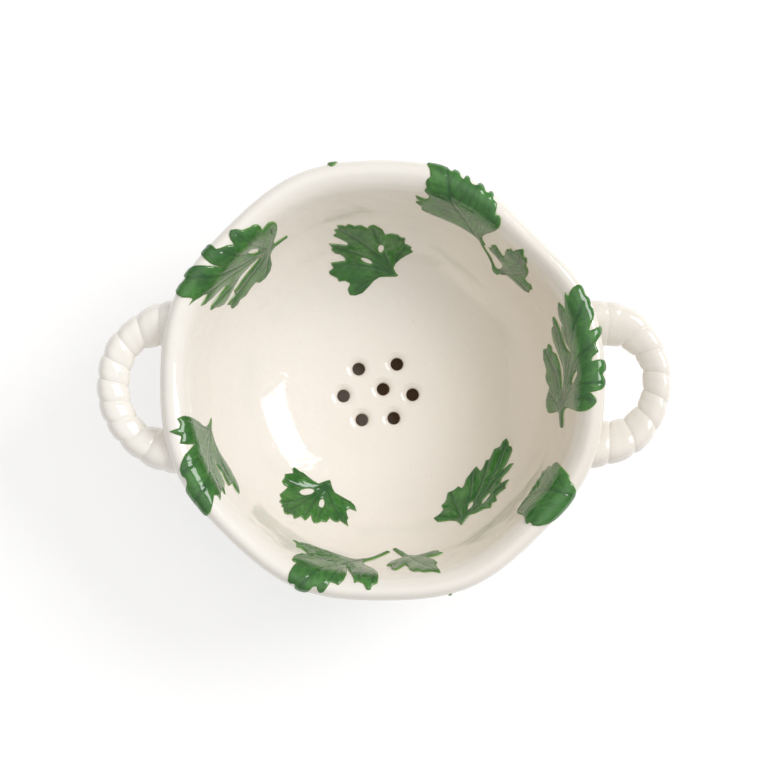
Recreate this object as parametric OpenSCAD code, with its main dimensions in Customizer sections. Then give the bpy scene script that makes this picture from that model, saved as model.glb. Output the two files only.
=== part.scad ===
// Berry colander bowl: a glazed earthenware bowl with a pierced floor, a foot ring, two rope handles
// and leaf sprigs laid over the wall. Z is up, the foot stands on z = 0, X runs across the handles
// and the back of the bowl is at +Y. Lengths are in millimetres, angles in degrees.

/* [Bowl] */
// Mean radius of the rim, to the outside of the lip
rim_radius = 100; // [80:1:140]
// Radius inside the floor's curve, where floor turns into wall
bend_radius = 54; // [40:1:60]
// Lean of the wall from the floor
wall_lean = 73; // [65:1:80]
// Length of the straight part of the wall, up the inside
wall_rise = 26; // [15:1:40]
// Thickness of the wall and floor
wall_thickness = 5; // [4:0.25:7]
// Height of the inner floor over the table
floor_height = 12.5; // [10:0.5:18]

/* [Lip] */
// Radius the wall flares at under the lip
flare_radius = 12; // [8:1:20]
// How far the flare turns outward
flare_turn = 45; // [30:1:55]
// Radius of the rolled lip
lip_radius = 4.2; // [3:0.1:5]
// How far the lip rolls over
lip_turn = 175; // [160:1:185]
// Radius of the hollow under the lip
tuck_radius = 6; // [4:0.5:10]

/* [Hand-formed shape] */
// How far the rim goes in at the eight flats and out between them
facet_share = 0.010; // [0:0.001:0.02]
// How much fuller the left side is than the right
lean_share = 0.007; // [0:0.001:0.02]
// How much wider the rim is across the handles than front to back
oval_share = 0.004; // [0:0.001:0.02]
// Depth of the one deep flat
dent_share = 0.033; // [0:0.001:0.05]
// Place of the deep flat, round from +X
dent_angle = 47; // [0:1:90]
// How far the lip is drawn out toward the two handles
pull_share = 0.010; // [0:0.001:0.02]
// Narrowness of the deep flat and of the lip's draw toward the handles
dent_power = 14; // [6:1:24]
// How far the lip is drawn out at the back
back_pull_share = 0.021; // [0:0.001:0.03]
// Narrowness of that draw
back_pull_power = 6; // [4:1:16]
// Rise and fall of the rim
wave_share = 0.007; // [0:0.001:0.02]
// Place of the highest point of the rim
wave_angle = 20; // [0:5:180]

/* [Drain holes] */
// Diameter of a drain hole
drain_diameter = 6; // [4:0.5:8]
// Width of the rounded edge round a drain hole
drain_edge = 0.8; // [0.4:0.1:1.5]
// Places of the drain holes in the floor, in hundredths of the rim radius, X then Y
drain_shares = [[-0.4, 1.0], [-11.9, 10.5], [6.1, 12.8], [-19.1, -2.2],
                [13.5, -1.6], [-10.4, -13.5], [4.6, -12.7]]; // [-25:0.1:25]

/* [Foot ring] */
// Outer radius of the foot ring on the table
foot_radius = 44; // [36:1:48]
// Width of the foot ring on the table
foot_width = 6; // [4:0.5:8]
// How far the foot ring spreads toward the top on each side
foot_spread = 1.2; // [0.5:0.1:3]
// Gap left for slip between two pieces
seat_gap = 0.15; // [0.05:0.05:0.3]

/* [Handles] */
// Thickness of the left rope, seen from above
rope_left_thickness = 14.4; // [12:0.2:18]
// Thickness of the right rope, seen from above
rope_right_thickness = 12.8; // [11:0.2:18]
// How much thicker the left rope is at its roots
left_root_share = 0.5; // [0:0.02:0.8]
// How much thicker the right rope is at its roots
right_root_share = 0.62; // [0:0.02:0.8]
// Where the left rope starts to thicken, from its middle to its end
left_swell_share = 0.42; // [0:0.02:0.7]
// Where the right rope starts to thicken, from its middle to its end
right_swell_share = 0.1; // [0:0.02:0.7]
// Height of the rope's pressed section against its width
rope_press_share = 0.68; // [0.5:0.02:1]
// How rounded that section is: one is an oval, less is nearer to a slab
rope_round_share = 0.86; // [0.7:0.02:1]
// Lean of that section, its outer side up
rope_lean = 25; // [0:1:40]
// Depth of the groove between two strands
groove_depth = 0.9; // [0.4:0.1:2]
// Distance from one groove to the next along the left rope
left_strand_pitch = 9; // [7:0.2:12]
// Distance from one groove to the next along the right rope
right_strand_pitch = 10.4; // [7:0.2:12]
// Turn of the first groove round the left rope
left_strand_start = 315; // [0:5:355]
// Turn of the first groove round the right rope
right_strand_start = 25; // [0:5:355]
// Middle of the left rope in hundredths of the rim radius, X, Y, then depth under the lip
rope_left_shares = [[-86.5, 24.8, 12.2], [-92, 26.2, 13.8], [-98.3, 26.7, 13.8], [-104.9, 25.5, 13.6],
                    [-110.8, 22.9, 13.3], [-116.4, 18.7, 13], [-120.4, 12.4, 12.7], [-122.4, 5, 12.5],
                    [-122.8, -3.2, 12.4], [-121.6, -10.3, 12.5], [-118.6, -17.2, 12.8],
                    [-113.4, -23.8, 13.2], [-107.2, -27.8, 13.5], [-100, -29.8, 13.7],
                    [-92.5, -30, 13.8], [-85.7, -28.1, 12.2]]; // [-130:0.1:130]
// Middle of the right rope in hundredths of the rim radius, X, Y, then depth under the lip
rope_right_shares = [[85.9, -26.5, 12.4], [92, -28.2, 13.8], [100.3, -27.1, 13.6], [107, -25.6, 13.3],
                     [113.1, -22.3, 13], [118.7, -16.1, 12.7], [122.1, -9.3, 12.5], [123.6, -2, 12.4],
                     [123.6, 5.2, 12.5], [121.5, 12.6, 12.7], [117.3, 18.9, 13], [111.4, 24.3, 13.3],
                     [104.5, 26.7, 13.6], [97.8, 27.1, 13.8], [91.5, 26.6, 13.8],
                     [86.3, 24.9, 12.4]]; // [-130:0.1:130]

/* [Leaves] */
// Size of the leaves against the bowl's
leaf_size_share = 1; // [0.8:0.01:1.2]
// Thickness of a leaf in its middle
leaf_thickness = 1.3; // [1:0.1:2.5]
// Thickness of a leaf at its edge
leaf_edge = 0.6; // [0.4:0.1:1.5]
// How far a leaf's underside sits from the true wall
leaf_seat = 0.3; // [0.1:0.05:0.4]
// Thickness of the cutter that opens a slit in a leaf
slit_depth = 8; // [6:1:12]

/* [Leaf places] */
// Each place is the length along the wall in hundredths of the rim radius, the way round, then the turn
crown_place_shares = [102.5, 128, -44.8]; // [-180:0.1:360]
vine_place_shares = [55.5, 83, -51.2]; // [-180:0.1:360]
birch_place_shares = [105, 57.2, -42.5]; // [-180:0.1:360]
twig_place_shares = [90.2, 43.2, 0]; // [-180:0.1:360]
maple_place_shares = [107.2, 351.2, -62.9]; // [-180:0.1:360]
parsley_place_shares = [79.5, 299.2, -110.4]; // [-180:0.1:360]
round_place_shares = [144.8, 330.2, 158.5]; // [-180:0.1:360]
fern_place_shares = [101.2, 191.2, -46.5]; // [-180:0.1:360]
berry_place_shares = [49.5, 238.8, 3]; // [-180:0.1:360]
ivy_place_shares = [88.2, 271.5, 37.7]; // [-180:0.1:360]
bud_place_shares = [87, 272, -30.9]; // [-180:0.1:360]
// Places of the leaves on the outside, in the same terms
back_vine_place_shares = [182.2, 97.3, 187]; // [-180:0.1:360]
back_bud_place_shares = [203, 69, 200]; // [-180:0.1:360]
front_bud_place_shares = [186.5, 284.7, 184]; // [-180:0.1:360]
front_berry_place_shares = [206, 256, 162]; // [-180:0.1:360]
front_vine_place_shares = [205, 318, 164]; // [-180:0.1:360]
left_twig_place_shares = [208, 216, 168]; // [-180:0.1:360]
right_berry_place_shares = [204, 36, 196]; // [-180:0.1:360]

/* [Leaf outlines] */
// Each outline starts at the stalk and goes round, in hundredths of the rim radius, across then along
crown_shares = [[2, 1], [4, 3], [13, 5.5], [17.5, 9], [19.5, 13], [15.5, 16.5], [18.3, 21], [15.6, 26],
                [15.8, 32], [14, 33.5], [9.5, 31], [8.6, 38], [11, 44.5], [6, 49], [2, 44], [-1, 36.5],
                [-0.2, 53], [-3, 57.5], [-5, 55], [-8.5, 62.5], [-12, 58], [-12.3, 53], [-15, 56],
                [-12.6, 43], [-16.5, 48], [-17, 36], [-14.6, 28], [-21, 37.5], [-25.5, 29], [-24, 23],
                [-17, 17], [-6, 9.6], [-20, 16], [-27, 18.5], [-31, 14], [-27, 6], [-22, 2], [-22, -3],
                [-17, -5.8], [-9, -2.5], [-0.6, -1.2], [4.2, -6], [5.8, -5]]; // [-50:0.5:70]
vine_shares = [[0.4, 0], [1.5, 4.5], [8, 5.5], [15, 4.5], [16.5, 7.5], [15.5, 10.5], [18.5, 13], [17, 18.5],
               [13.5, 21], [16, 31], [12.5, 31], [12.5, 36], [10.5, 42], [7.5, 47], [6, 43.5],
               [4.5, 46], [1, 43.5], [-1, 32], [-3.5, 42.5], [-7, 35], [-7.5, 27.5], [-11.5, 34],
               [-13, 30.5], [-15, 32], [-17, 23], [-15.5, 16.5], [-19.5, 13], [-18.5, 9.5], [-16, 7.5],
               [-9, 7], [-3, 2.5], [-0.4, 0]]; // [-50:0.5:70]
birch_shares = [[1.6, -1], [5, 3.2], [19, 12], [22.4, 17.5], [20, 19.8], [20.8, 24], [20.6, 30.5],
                [17.2, 28.8], [16.6, 34.5], [13, 33], [10.4, 39.5], [7.4, 36.8], [6.4, 44.4], [3.6, 42],
                [3.2, 47], [-3.4, 52], [-4.7, 43.5], [-7.4, 42], [-9.4, 36], [-11.4, 32], [-15.2, 35.5],
                [-16.4, 29.6], [-19, 30], [-19.4, 25], [-21, 20], [-17.4, 13], [-8, 4],
                [-3.2, -1]]; // [-50:0.5:70]
twig_shares = [[-0.6, -1.6], [1.5, 3.5], [9, 5], [13, 6.5], [15, 9], [14, 11.5], [15, 14], [12.5, 17],
               [9, 16], [9, 22], [7, 28], [5.3, 29.5], [3.5, 36.5], [2, 34], [-0.5, 39.5], [-3.5, 31],
               [-5.5, 31.5], [-6.5, 25], [-5.6, 18], [-12, 21.5], [-13, 18], [-12.5, 14.5], [-14, 13],
               [-4, 9.5], [-3, 4], [-4, 0.5]]; // [-50:0.5:70]
maple_shares = [[2.2, 0.6], [6, 5], [20.7, 11], [22.9, 17], [18.9, 20.2], [22.8, 25.6], [19.6, 30.2],
                [21, 34.4], [17.4, 37.1], [12.8, 33.4], [13.6, 39], [11.2, 41.6], [13.6, 51.5], [7, 45.8],
                [6.6, 57], [1.2, 68],
                [-4.6, 60.5], [-5.5, 49], [-10, 52.5], [-13, 44], [-12, 37], [-9.4, 26.4], [-13.6, 33],
                [-19.5, 40.5], [-23.5, 31], [-21, 25.5], [-16, 19.5], [-7, 9.8], [-17, 15], [-27, 20],
                [-31, 15], [-26, 5], [-21.5, 2], [-22, -5], [-16.5, -8.4], [-9, -4.4], [-2, -4],
                [2.6, -6.4], [5.4, -5.2]]; // [-50:0.5:70]
parsley_shares = [[1.3, -0.5], [1, 7], [6, 12], [10, 14], [8.8, 15.8], [11, 18], [9, 20.5], [11.5, 25],
                  [10.5, 29.5], [6, 26.5], [9, 37], [3.5, 32.5], [5.5, 42], [3, 43.5], [0, 45],
                  [-3, 40.5], [-6.5, 38], [-9.5, 32], [-10, 26.5], [-13.5, 27.5], [-15.5, 20],
                  [-14.5, 15.5], [-17.5, 14.5], [-19.5, 10], [-17, 3], [-14, 1.5], [-14.5, -4.5],
                  [-9, -3], [-4, 0.4], [-1, -0.2]]; // [-50:0.5:70]
round_shares = [[-1, 4.2], [5, 7.5], [13.4, 16], [18, 25], [16.4, 27.4], [17.4, 31], [15.8, 35.6],
                [11, 37], [7.5, 38], [1, 37.5], [-3, 38], [-9.2, 35.8], [-12, 28.5], [-17.6, 22],
                [-16.5, 20.4], [-18, 18], [-16.2, 12], [-12, 7.6], [-7, 5]]; // [-50:0.5:70]
fern_shares = [[-1, -4], [1, 5], [10, 10], [19, 15.5], [24, 20], [21, 21.6], [23.5, 27.5], [18.5, 25.5],
               [17, 29], [9.5, 23.5], [12.6, 33], [11.6, 40.5], [7.4, 44], [7.4, 50.5], [2, 57],
               [-2.6, 60], [-4.6, 56], [-4.5, 45.5], [-7, 48], [-8.5, 38.5], [-10, 42], [-12.5, 31],
               [-8, 20.5], [-15.5, 30], [-18, 26], [-22.5, 29], [-24, 23], [-21, 14], [-12, 9],
               [-5, 3.5], [-3, -4]]; // [-50:0.5:70]
berry_shares = [[0.4, -0.3], [3.5, 5], [12, 6], [17.5, 8], [16.3, 10.4], [19, 14.5], [18, 19], [14, 19],
                [15, 26], [13, 27.5], [12.5, 31], [7.5, 34], [4.5, 31], [2.5, 32.5], [0, 27.5],
                [-2, 28.5], [-2.8, 22.5], [-6, 26.5], [-10, 22.5], [-10.5, 18.5], [-14.5, 19.3],
                [-20, 19], [-17.5, 13.5], [-14.5, 10.5], [-19.5, 9.5], [-15, 5.2], [-5, 4],
                [-0.6, -0.2]]; // [-50:0.5:70]
ivy_shares = [[2, -2], [2.5, 14], [6, 19.5], [14, 22], [22, 27], [26, 34], [27.5, 40], [24, 39],
              [21.5, 42], [16.5, 40], [16.2, 46], [12, 58], [9.4, 57.6], [6.2, 68], [3.8, 65.6],
              [0, 69.4], [-2.2, 60], [-2.6, 57.8], [-6.2, 58.6], [-6.2, 50.6], [-9.2, 49.8],
              [-8.4, 42], [-2.5, 32.2], [-8.4, 38], [-13.5, 43], [-20.5, 41], [-21.5, 37], [-16, 29],
              [-8, 24], [-1, 20.5], [0.5, 12], [0.5, -2]]; // [-50:0.5:70]
bud_shares = [[-2, -1], [-1, 11], [8, 13.5], [13, 18], [11.5, 20], [13.5, 27], [4.5, 22], [8.5, 34.5],
              [6, 40], [3.5, 42], [1.5, 47], [-3.5, 35], [-7.5, 26], [-7, 21], [-14.5, 24.5],
              [-15.5, 18.5], [-13, 15.5], [-5, 13.5], [-4, -1]]; // [-50:0.5:70]
// The stem that joins the twig's leaf to the leaf beside it
stem_shares = [[-3, -4.2], [0.4, 0.8], [-3.4, 2.4], [-6.4, 1.5], [-9.6, 5.4], [-14.6, 10.6], [-20.5, 18],
               [-23, 16], [-17.8, 10], [-12.5, 4.4], [-8.4, 0.4], [-6, -3]]; // [-50:0.5:70]
// Middle that each outline is seen from, in the same terms
crown_middle_shares = [-3.5, 8.2]; // [-20:0.1:40]
vine_middle_shares = [0, 10]; // [-20:0.1:40]
birch_middle_shares = [0, 16]; // [-20:0.1:40]
twig_middle_shares = [0, 10.5]; // [-20:0.1:40]
maple_middle_shares = [-4, 8]; // [-20:0.1:40]
parsley_middle_shares = [-3, 9]; // [-20:0.1:40]
round_middle_shares = [0, 20]; // [-20:0.1:40]
fern_middle_shares = [-2, 12]; // [-20:0.1:40]
berry_middle_shares = [0, 9]; // [-20:0.1:40]
ivy_middle_shares = [2, 26]; // [-20:0.1:40]
bud_middle_shares = [-2, 16]; // [-20:0.1:40]
stem_middle_shares = [-6.6, -1.2]; // [-20:0.1:40]
// Slits through the leaves: middle across, middle along, length, width, turn
crown_slit_shares = [[1.5, 15.3, 9, 3, 18]]; // [-90:0.1:90]
vine_slit_shares = [[-3.3, 17.5, 6.5, 1.8, -6], [5.6, 16.7, 4.6, 2.6, 48]]; // [-90:0.1:90]
maple_slit_shares = [[5.4, 20.4, 9.5, 2.8, 30]]; // [-90:0.1:90]
parsley_slit_shares = [[2.5, 17, 6.4, 2, 8], [-3.6, 10.6, 4.4, 2.2, -14]]; // [-90:0.1:90]
berry_slit_shares = [[-3.3, 13, 5, 2.4, -20], [5.6, 12.6, 8, 3, 36]]; // [-90:0.1:90]

/* [Hidden] */
$fn = 64;
share = 1 / 100;
half_turn = 180;
lip_lift = wall_lean - flare_turn;
flat_radius = rim_radius - bend_radius * sin(wall_lean) - wall_rise * cos(wall_lean)
            - flare_radius * (sin(wall_lean) - sin(lip_lift)) - lip_radius * (1 + sin(lip_lift));
bend_middle = [flat_radius, floor_height + bend_radius];
arc_share = PI / half_turn;

// The profile is walked as legs of a length and a turn, from the middle of the floor up the inside
inner_legs = [[flat_radius, 0], [bend_radius * wall_lean * arc_share, wall_lean], [wall_rise, 0],
              [flare_radius * flare_turn * arc_share, -flare_turn],
              [lip_radius * lip_turn * arc_share, -lip_turn]];
function leg_at(a, leg, part) = let (len = leg.x * part, turn = leg.y * part, h = a[2] + turn)
    turn == 0 ? [a[0] + len * cos(a[2]), a[1] + len * sin(a[2]), h, a[3] + len]
    : let (rad = len / (turn * arc_share))
      [a[0] + rad * (sin(h) - sin(a[2])), a[1] - rad * (cos(h) - cos(a[2])), h, a[3] + len];
function starts(legs, i = 0, at = [0, floor_height, 0, 0]) = i == len(legs) ? [at]
    : concat([at], starts(legs, i + 1, leg_at(at, legs[i], 1)));
inner_starts = starts(inner_legs);
wall_foot = inner_starts[2];
lip_end = inner_starts[5];
wall_out = [sin(wall_lean), -cos(wall_lean)];
wall_along = [cos(wall_lean), sin(wall_lean)];
tuck_turn = flare_turn + lip_turn - half_turn;
lip_reach = [lip_end[0] - wall_foot[0], lip_end[1] - wall_foot[1]] * wall_out;
tuck_length = (lip_reach - wall_thickness - tuck_radius * (1 - cos(tuck_turn))) / sin(tuck_turn);
tuck_legs = [[tuck_length, 0], [tuck_radius * tuck_turn * arc_share, tuck_turn]];
tuck_end = starts(tuck_legs, 0, lip_end)[2];
outer_bend = bend_radius + wall_thickness;
outer_drop = [tuck_end[0], tuck_end[1]] * wall_along - (bend_middle + outer_bend * wall_out) * wall_along;
legs = concat(inner_legs, tuck_legs, [[outer_drop, 0], [outer_bend * wall_lean * arc_share, -wall_lean]]);
marks = starts(legs);
lip_level = marks[4][1];

// Point on the profile at a length from the middle of the floor, with the way it runs
function walk(s, i = 0) = i == len(legs) - 1 || s <= marks[i + 1][3]
    ? leg_at(marks[i], legs[i], (s - marks[i][3]) / legs[i].x) : walk(s, i + 1);
function ease(t) = let (u = max(0, min(1, t))) u * u * (3 - 2 * u);
function grown(r) = ease((r - foot_radius - foot_width) / (rim_radius - foot_radius - foot_width));
function rim_shape(way) = -facet_share * cos(8 * way) - lean_share * cos(way) + oval_share * cos(2 * way)
    - dent_share * pow(max(0, cos(way - dent_angle)), dent_power);
function drawn(r, way) = ease((r - marks[3][0]) / (rim_radius - marks[3][0]))
    * (pull_share * pow(abs(cos(way)), dent_power)
       + back_pull_share * pow(max(0, sin(way)), back_pull_power));
function rim_wave(way) = wave_share * rim_radius * (cos(3 * (way - wave_angle)) + cos(5 * way) / 2);
// Point on the wall, lifted off it square to the profile
function on_wall(s, way, lift) = let (p = walk(s), r = p[0] - lift * sin(p[2]), z = p[1] + lift * cos(p[2]),
    g = grown(p[0]), k = 1 + g * rim_shape(way) + drawn(p[0], way))
    [r * k * cos(way), r * k * sin(way), z + g * rim_wave(way)];

// Rings that the bowl's skin is drawn through
bend_rings = 8;
lip_rings = 7;
outer_rings = 6;
round_steps = 72;
function leg_stops(i, n) = [for (k = [1:n]) marks[i][3] + legs[i].x * k / n];
rings = concat([marks[1][3]], leg_stops(1, bend_rings), leg_stops(2, 2), leg_stops(3, 3),
               leg_stops(4, lip_rings), leg_stops(5, 1), leg_stops(6, 2), leg_stops(7, 2),
               leg_stops(8, outer_rings));

// Thin skin over a grid of rings, closed at both poles
module skin(grid, first, last) {
    n = len(grid[0]);
    m = len(grid);
    points = concat([first], [for (row = grid) each row], [last]);
    end = len(points) - 1;
    bottom = [for (i = [0:n - 1]) [0, 1 + i, 1 + (i + 1) % n]];
    top = [for (i = [0:n - 1]) [end, 1 + (m - 1) * n + (i + 1) % n, 1 + (m - 1) * n + i]];
    sides = [for (j = [0:m - 2], i = [0:n - 1]) let (a = 1 + j * n, b = (i + 1) % n)
             each [[a + i, a + n + i, a + n + b], [a + i, a + n + b, a + b]]];
    polyhedron(points, concat(bottom, sides, top), convexity = 10);
}

module bowl_body() {
    color([0.95, 0.92, 0.88]) difference() {
        skin([for (s = rings) [for (i = [0:round_steps - 1]) on_wall(s, -i * 360 / round_steps, 0)]],
             [0, 0, floor_height], [0, 0, floor_height - wall_thickness]);
        for (at = drain_shares) translate([at.x, at.y, 0] * share * rim_radius) {
            translate([0, 0, floor_height - 2 * wall_thickness])
                cylinder(h = 3 * wall_thickness, d = drain_diameter);
            translate([0, 0, floor_height - drain_edge])
                cylinder(h = 2 * drain_edge, d1 = drain_diameter, d2 = drain_diameter + 4 * drain_edge);
        }
    }
}

// Height of the bowl's underside at a radius
function under_bowl(r) = bend_middle.y - sqrt(pow(outer_bend, 2) - pow(max(r - flat_radius, 0), 2));
module foot_ring() {
    inside = foot_radius - foot_width;
    wide = foot_width + 2 * foot_spread;
    top = [for (k = [0:4]) let (r = foot_radius + foot_spread - wide * k / 4) [r, under_bowl(r) - seat_gap]];
    color([0.90, 0.85, 0.77]) rotate_extrude($fn = 96)
        polygon(concat([[inside, 0], [foot_radius, 0]], top));
}

// Smooth path through a row of points
function path_at(p, t) = let (n = len(p) - 1, i = min(floor(t), n - 1), u = t - i,
    a = p[max(i - 1, 0)], b = p[i], c = p[i + 1], d = p[min(i + 2, n)])
    0.5 * (2 * b + (c - a) * u + (2 * a - 5 * b + 4 * c - d) * u * u + (3 * b - a - 3 * c + d) * u * u * u);
rope_rings = 50;
rope_sides = 16;
function unit(v) = v / norm(v);
function runs(p, i = 1, at = 0) = i == len(p) ? [at]
    : concat([at], runs(p, i + 1, at + norm(p[i] - p[i - 1])));
root_full_share = 0.85;
groove_power = 6;
// Width of a leaning oval across its own length for a width of one seen from above
seen_share = norm([cos(rope_lean), rope_press_share * sin(rope_lean)]);
function flatter(v) = sign(v) * pow(abs(v), rope_round_share);
module rope(shares, thick, root, swell_from, pitch, start) {
    spans = len(shares) - 1;
    middle = [for (k = [0:rope_rings]) let (at = path_at(shares, k * spans / rope_rings) * share * rim_radius)
        [at.x, at.y, lip_level - at.z]];
    run = runs(middle);
    grid = [for (k = [0:rope_rings])
        let (ahead = unit(middle[min(k + 1, rope_rings)] - middle[max(k - 1, 0)]),
             side = unit(cross([0, 0, 1], ahead)), up = cross(ahead, side),
             wide = side * cos(rope_lean) - up * sin(rope_lean),
             tall = (side * sin(rope_lean) + up * cos(rope_lean)) * rope_press_share,
             out = (abs(2 * k / rope_rings - 1) - swell_from) / (root_full_share - swell_from),
             swell = 1 + root * ease(out),
             half = thick * swell / seen_share / 2, twist = 360 * run[k] / pitch + start)
        [for (i = [0:rope_sides - 1])
            let (way = -360 * i / rope_sides, deep = groove_depth * pow(cos((way + twist) / 2), groove_power))
            middle[k] + (half - deep) * (wide * flatter(cos(way)) + tall * flatter(sin(way)))]];
    skin(grid, middle[0], middle[rope_rings]);
}
module handle_left() {
    color([0.95, 0.92, 0.88])
        rope(rope_left_shares, rope_left_thickness, left_root_share, left_swell_share, left_strand_pitch,
             left_strand_start);
}
module handle_right() {
    color([0.95, 0.92, 0.88])
        rope(rope_right_shares, rope_right_thickness, right_root_share, right_swell_share, right_strand_pitch,
             right_strand_start);
}

// Leaf point put on the wall: place is length along the wall, way round and turn
function leaf_at(p, place, lift) = let (q = p * share * leaf_size_share * rim_radius, t = place[2],
    s0 = place[0] * share * rim_radius,
    across = q.x * cos(t) + q.y * sin(t), along = q.y * cos(t) - q.x * sin(t), s = s0 + along,
    r = max(walk(s)[0], bend_radius / 2))
    on_wall(s, place[1] - across / (r * arc_share), lift);
// Stops along a spoke of a leaf, set closer where the spoke crosses the lip
lip_low = marks[3][3] / (share * rim_radius);
lip_high = marks[6][3] / (share * rim_radius);
lip_weight = 5;
same = 2;
longest = 4.5;
function worth(s) = s + (lip_weight - 1) * (min(max(s, lip_low), lip_high) - lip_low);
function worth_back(d) = let (top = worth(lip_high))
    d < lip_low ? d : d < top ? lip_low + (d - lip_low) / lip_weight : lip_high + d - top;
function stop(a, b, place, part) = let (sa = height_on(a, place), sb = height_on(b, place), gap = sb - sa)
    abs(gap) < same ? part : (worth_back(worth(sa) + (worth(sb) - worth(sa)) * part) - sa) / gap;
function height_on(p, place) = place[0] + leaf_size_share * (p.y * cos(place[2]) - p.x * sin(place[2]));
// Outline with its long edges split where they lie on the lip
function eased(shape, place) = [for (i = [0:len(shape) - 1])
    let (a = shape[i], b = shape[(i + 1) % len(shape)],
         sa = height_on(a, place), sb = height_on(b, place),
         on_lip = max(sa, sb) > lip_low && min(sa, sb) < lip_high,
         parts = on_lip ? ceil(norm(b - a) / longest) : 1)
    each [for (k = [0:parts - 1]) a + (b - a) * k / parts]];
module leaf(outline, middle, place, rings_out) {
    shape = eased(outline, place);
    grid = [for (lift = [0, 1], k = [1:rings_out])
        let (part = (lift == 1 ? rings_out + 1 - k : k) / rings_out)
        [for (p = shape) let (f = stop(middle, p, place, part),
            high = leaf_seat + leaf_edge + (leaf_thickness - leaf_edge) * (1 - f * f))
            leaf_at(middle + (p - middle) * f, place, lift == 1 ? high : leaf_seat)]];
    skin(grid, leaf_at(middle, place, leaf_seat),
         leaf_at(middle, place, leaf_seat + leaf_thickness));
}

slit_sides = 10;
module slits(shares, place) {
    for (c = shares) {
        spot = leaf_at([c[0], c[1]], place, 0);
        up = unit(leaf_at([c[0], c[1]], place, leaf_thickness) - spot);
        ring = [for (k = [0:slit_sides - 1])
                let (w = 2 * half_turn * k / slit_sides, t = -c[4],
                     x = c[3] / 2 * cos(w), y = c[2] / 2 * sin(w))
                leaf_at([c[0] + x * cos(t) - y * sin(t), c[1] + x * sin(t) + y * cos(t)], place, leaf_seat)];
        skin([[for (p = ring) p - up * slit_depth / 2], [for (p = ring) p + up * slit_depth / 2]],
             spot - up * slit_depth / 2, spot + up * slit_depth / 2);
    }
}
leaf_green = [0.22, 0.48, 0.20];
few_rings = 4;
some_rings = 7;
many_rings = 9;

module leaf_rim_back_left() {
    color(leaf_green) difference() {
        leaf(crown_shares, crown_middle_shares, crown_place_shares, many_rings);
        slits(crown_slit_shares, crown_place_shares);
    }
}
module leaf_inner_back() {
    color(leaf_green) difference() {
        leaf(vine_shares, vine_middle_shares, vine_place_shares, few_rings);
        slits(vine_slit_shares, vine_place_shares);
    }
}
module leaf_pair_rim_back_right() {
    color(leaf_green) union() {
        leaf(birch_shares, birch_middle_shares, birch_place_shares, many_rings);
        leaf(twig_shares, twig_middle_shares, twig_place_shares, few_rings);
        leaf(stem_shares, stem_middle_shares, twig_place_shares, 2);
    }
}
module leaf_rim_right() {
    color(leaf_green) difference() {
        leaf(maple_shares, maple_middle_shares, maple_place_shares, many_rings);
        slits(maple_slit_shares, maple_place_shares);
    }
}
module leaf_inner_front_right() {
    color(leaf_green) difference() {
        leaf(parsley_shares, parsley_middle_shares, parsley_place_shares, few_rings);
        slits(parsley_slit_shares, parsley_place_shares);
    }
}
module leaf_rim_front_right() {
    color(leaf_green) leaf(round_shares, round_middle_shares, round_place_shares, many_rings);
}
module leaf_rim_left() {
    color(leaf_green) leaf(fern_shares, fern_middle_shares, fern_place_shares, many_rings);
}
module leaf_inner_front_left() {
    color(leaf_green) difference() {
        leaf(berry_shares, berry_middle_shares, berry_place_shares, few_rings);
        slits(berry_slit_shares, berry_place_shares);
    }
}
module leaf_rim_front() {
    color(leaf_green) leaf(ivy_shares, ivy_middle_shares, ivy_place_shares, many_rings);
}
module leaf_inner_front_small() {
    color(leaf_green) leaf(bud_shares, bud_middle_shares, bud_place_shares, few_rings);
}
module leaf_outer_back() {
    color(leaf_green) leaf(vine_shares, vine_middle_shares, back_vine_place_shares, some_rings);
}
module leaf_outer_back_small() {
    color(leaf_green) leaf(bud_shares, bud_middle_shares, back_bud_place_shares, few_rings);
}
module leaf_outer_front_small() {
    color(leaf_green) leaf(bud_shares, bud_middle_shares, front_bud_place_shares, some_rings);
}
module leaf_outer_front_left() {
    color(leaf_green) leaf(berry_shares, berry_middle_shares, front_berry_place_shares, few_rings);
}
module leaf_outer_front_right() {
    color(leaf_green) leaf(vine_shares, vine_middle_shares, front_vine_place_shares, few_rings);
}
module leaf_outer_left() {
    color(leaf_green) leaf(twig_shares, twig_middle_shares, left_twig_place_shares, few_rings);
}
module leaf_outer_right() {
    color(leaf_green) leaf(berry_shares, berry_middle_shares, right_berry_place_shares, few_rings);
}

bowl_body();
foot_ring();
handle_left();
handle_right();
leaf_rim_back_left();
leaf_inner_back();
leaf_pair_rim_back_right();
leaf_rim_right();
leaf_inner_front_right();
leaf_rim_front_right();
leaf_rim_left();
leaf_inner_front_left();
leaf_rim_front();
leaf_inner_front_small();
leaf_outer_back();
leaf_outer_back_small();
leaf_outer_front_small();
leaf_outer_front_left();
leaf_outer_front_right();
leaf_outer_left();
leaf_outer_right();
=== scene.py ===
from math import ceil, cos, hypot, pi, radians, sin
import bpy
import numpy as np
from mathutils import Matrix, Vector, geometry


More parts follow.
